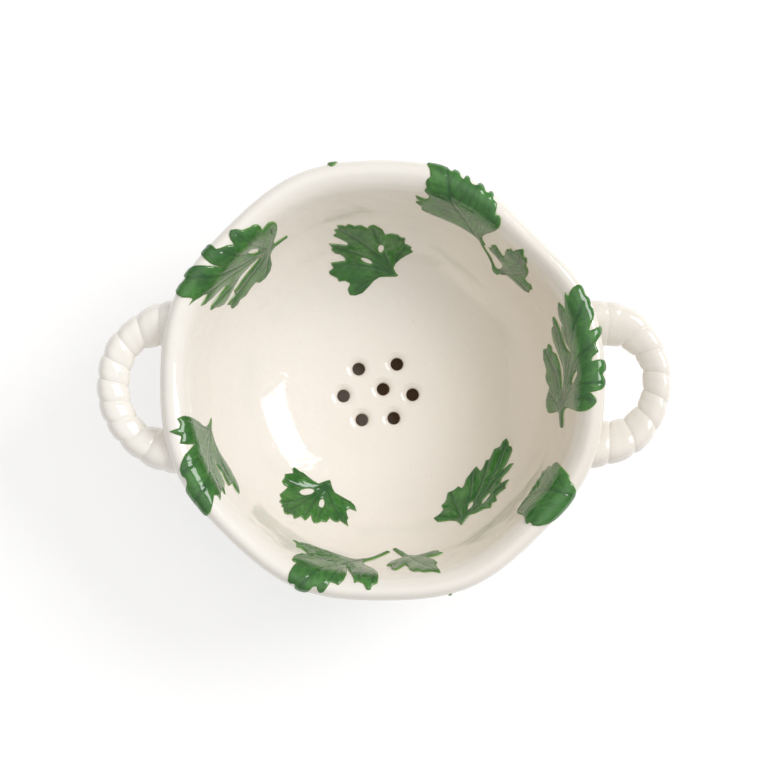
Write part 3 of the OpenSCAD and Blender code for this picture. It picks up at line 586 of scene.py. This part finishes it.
# The same leaf for the back, where one round lobe over the lip takes the place of points 22 to 36
back_lobe = leaf_kind("""
    9.4,40.4 8.8,42.6 8.5,44.8 7.7,46.6 6.3,47.4 4.9,46.8 4,45 3.7,42.8 3,40.6 1.6,39.8 0.5,38 0,33 -1,32
    -2,35 -3.5,39.5 -5,37.5 -6,38""")[0]
back_vine = [np.concatenate([vine[0][:22], back_lobe, vine[0][37:]])] + vine[1:]
birch = leaf_kind("""
    1.7,-5 1.5,-1 3,1.6 7,4.8 12,7.6 17,10.6 20.2,12.8 21.6,14.6 22.4,17.2 21.8,18.8 20.4,18.9 19.8,20
    20.6,21.6 21,24 20,25 19.2,26 20.2,27.6 21,29.6 20.2,31 18.8,30.4 17.4,28.8 16.2,29.4 16.4,31.6 17,33.6
    15.8,35.6 14.4,34.6 12.8,32.9 11.2,33.2 10.2,34.8 10.9,37.6 10.2,39.6 8.8,38.4 7.4,36.7 6.6,38.2 7.2,41
    7.3,43 6,44.6 4.8,43.4 3.7,42 3,43.4 3.3,45.4 2.6,47.4 0,49.8 -3.3,52.2 -4.8,50.6 -4.6,47 -4.9,43.4
    -6.2,43.6 -7.4,42 -7.6,39.6 -9.4,38.2 -9.1,34.4 -10.4,31.8 -13.2,30.6 -14.1,33 -15,36.4 -16.4,33.4
    -16.2,28.4 -17.2,30 -19,30.2 -19.4,27.6 -19.2,24.4 -21,21.8 -20.6,19 -18.4,14.8 -14.4,10 -9,5.6
    -4.4,1.8 -2.4,0.4 -1.5,-1.4 -0.6,-5""", """
    0,-2 0,24 3,51""", 6.5, 48, 17)
twig = leaf_kind("""
    -1,-1 0,1 1.5,3.5 5,4.5 9,5 13,6.5 15,9 14,11 15,14 13,17 11,15.5 9,16 9,21 8.5,25 7,28 5.5,29 5,33
    3.5,36.5 2,35 1,37 -0.5,39.5 -2,37 -3,34.5 -3.5,30.5 -5.5,31.5 -5.5,29 -6.5,28 -6.5,24 -5.5,20 -6,17
    -9,19 -12,21.5 -13,19 -13.5,17 -12.5,14 -14,13.5 -12,12 -8,11 -4,9.5 -3,7 -3,3.5 -4,0.5""", """
    -2,0 1,16 2,35 -2,0 4,10 14,9 -2,0 4,14 8,25 -2,0 -6,13 -12,20""", 4.2, 42, 3.6)
twig_stem = leaf_kind("""
    -1.6,-1 -1.5,0.2 -6,1 -10,5.5 -15,9 -19,14 -20,13 -17,9.5 -12,5 -8,1 -6,-3 -4,-4 -2,-3.5""")
maple = leaf_kind("""
    0.6,0.6 2,3 6,5 12,7 17.4,8.8 20.7,11.1 22,12.8 22.8,15 23,17.5 22,19 20.2,19.6 18.6,20 20,21.2 22,23.8
    23,26.6 22.7,28.5 21.3,29.6 19.5,30 19.3,31.2 20.3,32.6 21.2,34 20.9,35.4 19.6,36.5 17.2,36.9 15,35.6
    12.8,33 12.4,34.8 13,37 13.6,38.9 12.1,39.9 11,41.6 11.5,44.6 12.5,48 13.5,50.6 12.8,52 11,51.2 9.2,49
    7,45.6 6.7,48.6 7,52 7.1,55.2 6.2,57.6 4.9,58.2 5.1,60.6 4.2,63 2.6,62.8 2,65.8 1.2,68.2 -0.6,68
    -2,65.4 -3,62 -3.6,58.8 -4.7,61 -5.2,58 -5.4,54 -5.5,49 -7,51.5 -10,52.5 -12,49 -13,44 -12,41 -10.5,40
    -12,38.5 -12,35.5 -10,33 -7,31.5 -2,30 -2,29 -8,29 -11,31 -14,35 -17,39.5 -19.5,40.5 -20.5,38 -20.5,34
    -22.5,33.5 -23.5,30 -22.5,26 -20,24 -14,20.5 -10,18.5 -7,14 -5.5,9.5 -8,8.5 -11,13.5 -15,18 -20,20.5
    -24,19.5 -25,22 -28,22 -29,19 -32,17 -31,12 -27,8 -27,5 -25,3 -21.5,2 -21.8,-1 -21.6,-4.4 -19.6,-7.2
    -16.2,-8.6 -13,-7 -10,-5 -7,-3.2 -4,-2.8 -1.6,-4.4 1,-5.8 3.2,-6.6 5.6,-5.4 4.2,-3.4 1.6,-1.4""", """
    -3,-1 6,10 23,18 -3,-1 8,16 24,28 -3,-1 3,20 12,46 -3,-1 0,30 2,61 -3,-1 -4,26 -9,51 -3,-1 -10,20
    -20,38 -3,-1 -13,10 -29,17 -3,-1 -12,1 -24,-1""", 4.8, 42, 4.6)
parsley = leaf_kind("""
    1.3,-0.5 0.5,3 0.3,6.5 3,8.5 6,12 10,13.5 8.5,16 11,18 8,19.5 9,22 11.5,25 10,26 10.5,29.5 8,28 5.5,26
    5,29 7,32 9,37 6.5,36 4,33 3,32 4.5,36 5.5,42 4,43 2.5,42.5 2,44 0,45 -2,43 -3,40.5 -5,39 -6.5,38
    -7.5,33 -9.5,32 -9.5,28 -10,26.5 -13.5,27.5 -14.5,25 -15.5,20 -14.5,17.5 -14.5,15.5 -17,15.5 -17.5,13
    -19.5,10 -17,6 -17,3 -14.5,2 -14,-1 -14.5,-4.5 -11,-5 -9,-3 -7,-1 -4,0.5 -1.5,0.5""", """
    -1,3 3,14 10,27 -1,3 1,20 6,34 -1,3 -1,22 1,44 -1,3 -5,22 -8,34 -1,3 -7,14 -14,24 -1,3 -9,6 -18,11 -1,3
    -8,0 -14,-3""", 4.4, 40, 3.6)
round_leaf = leaf_kind("""
    -1,4.2 2.4,5.6 5.2,7.8 6.8,9.6 8.8,10 11,12.6 13.5,16 15.8,20 17.6,23 18.1,25.6 16.6,27 17.6,30.8 16,33
    16.2,36 12.6,35.4 11.4,37.2 8.2,36.6 7.4,38 4,37.2 1,37.6 -3,38 -7,37.2 -9.2,35.6 -10.3,33 -12,28.5
    -14,25 -16.4,23.4 -18,21.8 -16.6,20.6 -18.2,19 -17.8,16.4 -16,13 -12.4,9 -8,5.8 -4,4.4""", """
    0,3 1,20 2,37""", 6.0, 50, 15)
fern = leaf_kind("""
    -2,-4 -1,1 1,5 5,8 10,10 15,13 19,15.5 22,17.5 24,20.6 21.4,21.6 20.6,23.2 23.5,27 20,26.5 17.8,26
    16.8,29.3 13.5,27.5 10.5,25 11.6,28.6 12.7,32.4 12.4,36.5 11.8,40 10,42.6 8.2,43 7,45 7.2,48.4 7.6,50.4
    5.6,53 3,55.6 0.4,58.4 -1.6,60.2 -3.6,59.4 -4.7,56.6 -4.5,52 -4,46 -5.5,45.5 -7,48 -7,43 -8.5,38.5
    -10,42 -11,36 -12.5,31 -11.5,27 -9.5,24 -8.5,21 -13,23 -15.5,30 -17,28.5 -19.5,24.5 -20.5,28 -22.5,30.5
    -23.5,27 -24,24 -23.5,19 -21,14 -17,11 -12,9 -7,6 -4,3 -3,0""", """
    -2,4 8,12 22,19 -2,4 5,26 12,45 -2,4 0,32 2,60 -2,4 -3,28 -8,46 -2,4 -10,14 -20,28""", 4.8, 40, 5.0)
berry = leaf_kind("""
    0,-0.3 1.5,1.5 3.5,5 7,5.5 12,6 14,7 16,7.5 17.5,8 17.5,9.5 16,10.5 17.5,12.5 19,14.5 18,16 18,19
    16,19.5 14,18.5 14.5,22 15,26 13,27 13,30 11,29.5 11,31.5 9.5,31 9,32.5 7.5,34 6,33 5,31 4,30.5
    2.5,32.5 1.5,30 1,28 0,27.5 -2,28.5 -2.5,26 -2.5,22.5 -4,25 -6,26.5 -7.5,25 -8,23 -10.5,22 -10.5,18.5
    -13,19.5 -15,19 -15,17.5 -20.5,19.5 -18,16 -18,14.5 -15,11 -15.5,9 -19.5,9.5 -17,6.5 -14,5 -10,4.5 -5,4
    -3,2.5""", """
    0,3 8,6 17,9 0,3 8,12 18,17 0,3 6,20 12,29 0,3 3,16 7,32 0,3 0,16 -1,27 0,3 -4,14 -7,25 0,3 -8,11
    -17,18 0,3 -8,5 -17,7""", 4.4, 42, 3.8)
ivy = leaf_kind("""
    -0.6,-1 1.6,-0.6 1.9,8 2.3,14 4.3,18.8 6,20 10,21 14,22 18,23.5 22,27 24.6,30 25.6,34 25.5,37 27.3,40
    24.6,39.4 23.6,41 21.5,43.6 20.4,40.6 17.4,40.2 15.6,42 16.2,46 15.1,51 13.4,55.2 11.6,58.8 10.4,58.6
    9.6,57.4 9.2,60.6 8.2,65 6.6,68.2 5,68.2 3.9,65.8 2.8,67.8 1,69.6 -0.8,69.4 -2,67 -2.2,62.6 -1.9,59.6
    -2.8,57.6 -4,58.8 -5.6,59.2 -6.6,57.4 -6.3,54 -5.9,51.2 -7.6,50.2 -9.3,49.9 -9.4,45.6 -7.8,41.6 -4.4,37
    -0.6,32.2 -4,35.6 -8,39 -12,42 -13.8,44 -14.6,42 -17,41.4 -20,43 -21.5,42 -20.8,39.4 -22,37.2 -19.5,33
    -16,29 -12,26 -8,24 -4,22.8 -1,20.8 -0.2,18 -0.3,8""", """
    1,18 12,26 26,38 1,18 8,34 13,55 1,18 1,40 2,64 1,18 -3,38 -6,57 1,18 -8,30 -14,41 1,18 -9,26 -20,38""",
    5.0, 42, 5.0)
bud = leaf_kind("""
    -4,-1 -2,-1 -1.5,5 -1,11 3,12 8,13.5 11,16 13,18 11.5,20 14,24 13.5,27 11,26 8,24 5,22 6,26 8,30
    8.5,34.5 6.5,36 6,40 3.5,42 3,43 1.5,47 -0.5,42 -2,38 -3.5,35 -5.5,33 -7,28 -7,24 -7.5,21 -10,23 -12,24
    -14.5,24.5 -14.5,21 -15.5,18.5 -14,16 -10,15 -6,14 -4,11 -4.5,5""", """
    -2,12 5,17 13,25 -2,12 1,28 2,45 -2,12 -7,17 -14,22""", 4.4, 42, 4.0)


def rounded(points, reach=0.6, most=0.34):
    """Cuts each corner of an outline back to a short curve, as a soft clay edge has."""
    row = []
    for k, corner in enumerate(points):
        before, after = points[k - 1] - corner, points[(k + 1) % len(points)] - corner
        a = corner + before * min(most, reach / max(np.hypot(*before), 1e-6))
        b = corner + after * min(most, reach / max(np.hypot(*after), 1e-6))
        row += [(1 - t) ** 2 * a + 2 * t * (1 - t) * corner + t * t * b for t in (0, 0.33, 0.67, 1)]
    return np.array(row)


def divided(points, pitch):
    """The outline with more points, no further apart than pitch."""
    row = []
    for k, a in enumerate(points):
        b = points[(k + 1) % len(points)]
        count = max(1, ceil(np.hypot(*(b - a)) / pitch))
        row += [a + (b - a) * t / count for t in range(count)]
    return np.array(row)


def slit(x, y, length, width, turn):
    """The outline of a narrow oval hole through a leaf."""
    t = np.radians(turn)
    w = np.linspace(0, 2 * pi, 17)[:-1]
    a, b = width / 2 * np.cos(w), length / 2 * np.sin(w)
    return np.stack([x + a * np.cos(t) + b * np.sin(t), y - a * np.sin(t) + b * np.cos(t)], -1)


def inside(spots, loop, holes=()):
    """Whether each spot lies within the outline and outside its holes."""
    x, y = spots[:, 0:1], spots[:, 1:2]
    a, b = loop, np.roll(loop, -1, 0)
    cross = (a[:, 1] > y) != (b[:, 1] > y)
    with np.errstate(divide="ignore", invalid="ignore"):
        at = a[:, 0] + (y - a[:, 1]) * (b[:, 0] - a[:, 0]) / (b[:, 1] - a[:, 1])
    held = (cross & (x < at)).sum(1) % 2 == 1
    for hole in holes:
        held &= ~inside(spots, hole)
    return held


def nearness(spots, a, b):
    """Distance from each spot to the nearest of the lines a to b."""
    least = np.full(len(spots), 1e9)
    for first in range(0, len(a), 64):
        p, q = a[first:first + 64], b[first:first + 64]
        d = q - p
        t = np.clip(((spots[:, None] - p) * d).sum(-1) / np.maximum((d * d).sum(-1), 1e-12), 0, 1)
        off = np.moveaxis(spots[:, None] - p - t[..., None] * d, -1, 0)
        least = np.minimum(least, np.hypot(*off).min(1))
    return least


def vein_lines(mains, gap=0, slant=0, length=0):
    """Short straight lines for the main veins and for the side veins that leave them in pairs."""
    main, side = [], []
    for k in range(0, len(mains), 3):
        a, m, b = mains[k:k + 3]
        t = np.linspace(0, 1, 15)[:, None]
        curve = (1 - t) ** 2 * a + 2 * t * (1 - t) * (2 * m - (a + b) / 2) + t * t * b
        main += list(zip(curve[:-1], curve[1:]))
        run = np.concatenate([[0], np.cumsum(np.hypot(*np.diff(curve, axis=0).T))])
        for n, at in enumerate(np.arange(gap * 1.1, run[-1] - gap * 0.5, gap / 2)):
            spot, beyond = (np.array([np.interp(d, run, row) for row in curve.T]) for d in (at, at + 1))
            ahead = (beyond - spot) / max(np.hypot(*(beyond - spot)), 1e-6)
            s = radians(slant) * (1 if n % 2 else -1)
            way = np.array([ahead[0] * cos(s) - ahead[1] * sin(s), ahead[0] * sin(s) + ahead[1] * cos(s)])
            reach = length * (0.45 + 0.55 * sin(pi * (0.15 + 0.8 * at / run[-1])))
            knee = spot + way * reach * 0.5
            side += [(spot, knee), (knee, knee + (way * 0.9 + ahead * 0.3) * reach * 0.5)]
    return np.reshape(main, (-1, 2, 2)), np.reshape(side, (-1, 2, 2))


# A leaf's edge, dome, waves, veins, bed and net in millimetres (rows and jitter in parts of the net's
# pitch), then how dark its veins are
edge_height, edge_reach, dome_height, dome_reach, wave_height = 0.62, 0.6, 0.74, 2.6, 0.16
vein_press, side_press, vein_half, side_half, leaf_bed, edge_spread = 0.22, 0.06, 0.7, 0.5, 0.3, 1.6
row_pitch, vein_step, vein_rails, side_rails = 0.87, 0.6, (-0.9, -0.45, 0, 0.45, 0.9), (-0.45, 0, 0.45)
edge_rails, closest, jitter, edge_room, least_rise = (0.16, 0.36, 0.62), 0.34, 0.12, 0.12, 0.02
vein_dark, vein_dark_half, side_dark, seed_step = 0.8, 0.75, 0.5, 7.3


def pressed_leaf(kind, place, slits, pitch, seed):
    """One leaf: its outline filled with a fine net, domed, veined and laid on the wall."""
    outline, veins, side_veins = kind
    loop = divided(rounded(outline), pitch)
    holes = [slit(*s) for s in slits]
    edges, loops = [], [loop] + holes
    for line in loops:
        first = len(edges)
        edges += [(first + k, first + (k + 1) % len(line)) for k in range(len(line))]
    starts = np.concatenate(loops)
    ends = np.concatenate([np.roll(line, -1, 0) for line in loops])
    low, high = loop.min(0), loop.max(0)
    dice = np.random.default_rng(seed)
    x, y = np.meshgrid(np.arange(low[0], high[0], pitch), np.arange(low[1], high[1], pitch * row_pitch))
    x[1::2] += pitch / 2
    net = np.stack([x.ravel(), y.ravel()], -1)
    net = net + dice.uniform(-jitter, jitter, net.shape) * pitch
    main, twigs = vein_lines(veins, *side_veins)
    rails = []
    for lines, offsets in ((main, vein_rails), (twigs, side_rails)):
        for a, b in lines:
            across = np.array([-(b - a)[1], (b - a)[0]]) / max(np.hypot(*(b - a)), 1e-6)
            count = max(1, round(np.hypot(*(b - a)) / vein_step))
            rails += [a + (b - a) * t / count + across * o for t in range(count) for o in offsets]
    normal = np.stack([-(ends - starts)[:, 1], (ends - starts)[:, 0]], -1)
    normal /= np.maximum(np.hypot(*normal.T), 1e-9)[:, None]
    for inward in edge_rails:
        rails += list((starts + ends) / 2 + normal * inward)
    inner = np.concatenate([np.array(rails), net])
    taken = {}
    for k, (a, b) in enumerate(inner / closest):
        taken.setdefault((round(a), round(b)), k)
    inner = inner[list(taken.values())]
    inner = inner[inside(inner, loop, holes)]
    inner = inner[nearness(inner, starts, ends) > edge_room]
    spots = np.concatenate([starts, inner])
    flat, _, faces = geometry.delaunay_2d_cdt([Vector(p) for p in spots.tolist()], edges, [], 0, 1e-6)[:3]
    flat = np.array([tuple(p) for p in flat])
    faces = np.array([f for f in faces if len(f) == 3])
    faces = faces[inside(flat[faces].mean(1), loop, holes)]
    used, faces = np.unique(faces, return_inverse=True)
    flat, faces = flat[used], faces.reshape(-1, 3)
    d, v, w = (nearness(flat, a, b) for a, b in (
        (starts, ends), (main[:, 0], main[:, 1]), (twigs[:, 0], twigs[:, 1])))
    edge = np.sqrt(np.clip(1 - (1 - np.clip(d / edge_reach, 0, 1)) ** 2, 0, 1))
    deep = np.clip(d / edge_spread, 0, 1)
    waves = sum(np.sin(flat @ dice.uniform(-0.55, 0.55, 2) + dice.uniform(0, 6.3)) for _ in range(4)) / 4
    side = np.exp(-(w / side_half) ** 2)
    rise = (edge_height * edge + dome_height * (1 - np.exp(-d / dome_reach)) + wave_height * waves * deep
            - vein_press * np.exp(-(v / vein_half) ** 2) * deep - side_press * side * deep)
    dark = np.maximum(vein_dark * np.exp(-(v / vein_dark_half) ** 2), side_dark * side) * deep
    base = veins[0] if len(veins) else outline[0]
    fan, reach = np.arctan2(flat[:, 0] - base[0], flat[:, 1] - base[1]), np.hypot(*(flat - base).T)
    s0, way0, turn = place
    t = np.radians(turn)
    across = flat[:, 0] * np.cos(t) + flat[:, 1] * np.sin(t)
    s = s0 + flat[:, 1] * np.cos(t) - flat[:, 0] * np.sin(t)
    way = way0 - across / (np.maximum(walk(s)[0], bend_radius / 2) * pi / 180)
    top, under = on_wall(s, way, np.maximum(rise, least_rise)), on_wall(s, way, -leaf_bed)
    count = len(flat)
    border = {(a, b): 1 for f in faces for a, b in ((f[0], f[1]), (f[1], f[2]), (f[2], f[0]))}
    sides = [(b, a, a + count, b + count) for a, b in border if (b, a) not in border]
    # A leaf inside and one outside run opposite ways, so the skin is turned where it faces the wall
    p, q, r = (top[faces[:, k]] for k in range(3))
    outward = np.cross(q - p, r - p).sum(0) @ (top.mean(0) - under.mean(0)) > 0
    skin = [tuple(f) for f in faces] + [tuple(f[::-1] + count) for f in faces] + sides
    if not outward:
        skin = [f[::-1] for f in skin]
    marks_at = np.stack([np.clip(d, 0, 3), dark, fan, reach + seed_step * seed])
    return np.concatenate([top, under]), skin, np.concatenate([marks_at, np.zeros((4, count))], 1)


def green_glaze(name):
    """Green glaze brushed over the relief: darker in the veins, thin and pale at the edges."""
    material, tree, place = finish_of(name)
    edge, vein, fan, reach = (put(tree, "ShaderNodeAttribute", {"attribute_name": label}, out="Fac")
                              for label in ("edge", "vein", "fan", "reach"))
    rays = put(tree, "ShaderNodeCombineXYZ", None, {"X": fan * 14, "Y": reach * 0.11})
    streak, wisps = cloud(tree, rays, 1.0, 2, 0.55, 0.3), cloud(tree, rays, 2.6, 2, 0.5)
    brush, fine = cloud(tree, place, 90, 3, 0.55, 0.4), cloud(tree, place, 620, 3, 0.6)
    pits = cloud(tree, place, 1100, 1, 0.5)
    green = mixed(tree, brush.step(0.3, 0.7), colour(48, 104, 41), colour(74, 135, 56))
    green = mixed(tree, streak.step(0.45, 0.7) * 0.4, green, colour(40, 82, 36))
    green = mixed(tree, wisps.step(0.55, 0.75) * 0.25, green, colour(102, 148, 76))
    green = mixed(tree, pits.step(0.66, 0.72) * brush.step(0.5, 0.6) * 0.7, green, colour(20, 50, 26))
    green = mixed(tree, vein * (0.5 + 0.4 * brush), green, colour(26, 66, 34))
    thin = 1 - (edge + (fine - 0.5) * 0.25).step(0.04, 0.42)
    green = mixed(tree, thin * 0.5, green, colour(160, 186, 108))
    relief = raised(tree, streak + 0.3 * wisps, 0.0002, 0.12)
    surface(tree, Base_Color=green, Roughness=0.08 + 0.06 * fine, IOR=1.52, Coat_Weight=0.5,
            Coat_Roughness=0.02, Normal=raised(tree, fine, 0.00006, 0.4, relief))
    return material


leaf_glaze = green_glaze("leaf_green_glaze")
# For each piece, its leaves: the kind, then where its base sits (length along the wall, way round
# and turn, in millimetres and degrees), then its slits (place, length, width and turn)
leaf_rows = {
    "leaf_rim_back_left": [(crown, (102.5, 128, -44.8), (1.5, 15.3, 9, 3, 18))],
    "leaf_inner_back": [(vine, (55.5, 83, -51.2), (-3.3, 17.5, 6.5, 1.8, -6), (5.6, 16.7, 4.6, 2.6, 48))],
    "leaf_pair_rim_back_right": [
        (birch, (105, 57.2, -42.5)), (twig, (90.2, 43.2, 0)), (twig_stem, (90.2, 43.2, 0))],
    "leaf_rim_right": [(maple, (107.2, 351.2, -62.9), (5.4, 20.4, 9.5, 2.8, 30))],
    "leaf_inner_front_right": [
        (parsley, (79.5, 299.2, -110.4), (2.5, 17, 6.4, 2, 8), (-3.6, 10.6, 4.4, 2.2, -14))],
    "leaf_rim_front_right": [(round_leaf, (144.8, 330.2, 158.5))],
    "leaf_rim_left": [(fern, (101.2, 191.2, -46.5))],
    "leaf_inner_front_left": [(berry, (49.5, 238.8, 3), (-3.3, 13, 5, 2.4, -20), (5.6, 12.6, 8, 3, 36))],
    "leaf_rim_front": [(ivy, (88.2, 271.5, 37.7))],
    "leaf_inner_front_small": [(bud, (87, 272, -30.9))],
    "leaf_outer_back": [(back_vine, (183.9, 96.7, 187))],
    "leaf_outer_back_small": [(bud, (203, 69, 200))],
    "leaf_outer_front_small": [(bud, (186.5, 284.7, 184))],
    "leaf_outer_front_left": [(berry, (206, 256, 162))],
    "leaf_outer_front_right": [(vine, (205, 318, 164))],
    "leaf_outer_left": [(twig, (208, 216, 168))],
    "leaf_outer_right": [(berry, (204, 36, 196))]}
inner_pitch, outer_pitch, first_seed = 0.72, 0.95, 11
for seed, (node, parts) in enumerate(leaf_rows.items(), first_seed):
    points, skin, at = np.zeros((0, 3)), [], np.zeros((4, 0))
    for kind, place, *slits in parts:
        pitch = outer_pitch if "outer" in node else inner_pitch
        part_points, part_skin, part_at = pressed_leaf(kind, place, slits, pitch, seed)
        skin += [tuple(np.array(f) + len(points)) for f in part_skin]
        points, at = np.concatenate([points, part_points]), np.concatenate([at, part_at], 1)
    sprig = shell("sprig_" + node[5:], points, skin, edge=at[0], vein=at[1], fan=at[2], reach=at[3])
    glazed(sprig, leaf_glaze)
    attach(sprig, "root")
    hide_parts(node)


# Floor and light. A white sheet under the bowl, one large soft window of light from the right
# and a little from the back, and a glow from all round that is strongest overhead.
sheet_half, sheet_glow, glow_part = 3000.0, 1.42, 0.35
corners = [(x * sheet_half, y * sheet_half, 0) for x, y in ((-1, -1), (1, -1), (1, 1), (-1, 1))]
sheet = shell("white_sheet", corners, [(0, 1, 2, 3)], smooth=False)
paper, tree, spot = finish_of("white_paper")
camera_ray, glossy_ray, clear_ray = (put(tree, "ShaderNodeLightPath", out=ray) for ray in (
    "Is Camera Ray", "Is Glossy Ray", "Is Transmission Ray"))
seen = camera_ray.most(glossy_ray).most(clear_ray)
white = put(tree, "ShaderNodeEmission", None, {"Color": (1, 1, 1, 1), "Strength": sheet_glow})
# Inside the foot ring the sheet is only seen through the drain holes; there its colour is painted shade,
# dark and warm, and darker toward the window
from_middle = vector(tree, "LENGTH", spot, out="Value")
toward_window = along(tree, spot, "X") + 0.55 * along(tree, spot, "Y")
open_sheet = from_middle.step(foot_radius * MM, (foot_radius + foot_width) * MM)
paper_with_painted_shade = mixed(tree, toward_window.step(-0.010, 0.0), colour(224, 208, 200), colour(160, 130, 104))
paper_with_painted_shade = mixed(tree, from_middle.step(0.034, 0.037), paper_with_painted_shade, colour(252, 252, 252))
matt = put(tree, "ShaderNodeBsdfDiffuse", None, {"Color": paper_with_painted_shade})
put(tree, "ShaderNodeOutputMaterial", None, {"Surface": put(tree, "ShaderNodeMixShader", None, {
    "Fac": seen * glow_part * open_sheet, 1: matt, 2: white})})
glazed(sheet, paper)

# The window: its way round and lean from overhead in degrees, its distance and size in metres
window_way, window_lean, window_reach = 26, 46, 1.6
window_width, window_height, window_power = 0.88, 0.72, 12.4
light = bpy.data.lights.new("window", "AREA")
light.shape, light.size, light.size_y, light.energy = "RECTANGLE", window_width, window_height, window_power
window = placed("window", light)
a, b = radians(window_way), radians(window_lean)
window.location = Vector((sin(b) * cos(a), sin(b) * sin(a), cos(b))) * window_reach
window.rotation_euler = (Vector((0, 0, 0.04)) - window.location).to_track_quat("-Z", "Y").to_euler()

world = bpy.data.worlds.new("soft_room")
world.use_nodes = True
bpy.context.scene.world = world
tree = world.node_tree
tree.nodes.clear()
seen = put(tree, "ShaderNodeLightPath", out="Is Camera Ray")
up = put(tree, "ShaderNodeTexCoord", out="Generated")
height = along(tree, up, "Z").most(0)
low_sky, high_sky = 0.39, 0.66
sky = low_sky + high_sky * height ** 3
glow = put(tree, "ShaderNodeBackground", None, {
    "Color": (1.0, 0.992, 0.98, 1), "Strength": seen + (1 - seen) * sky})
put(tree, "ShaderNodeOutputWorld", None, {"Surface": glow})
bpy.context.scene.view_settings.view_transform = "Standard"
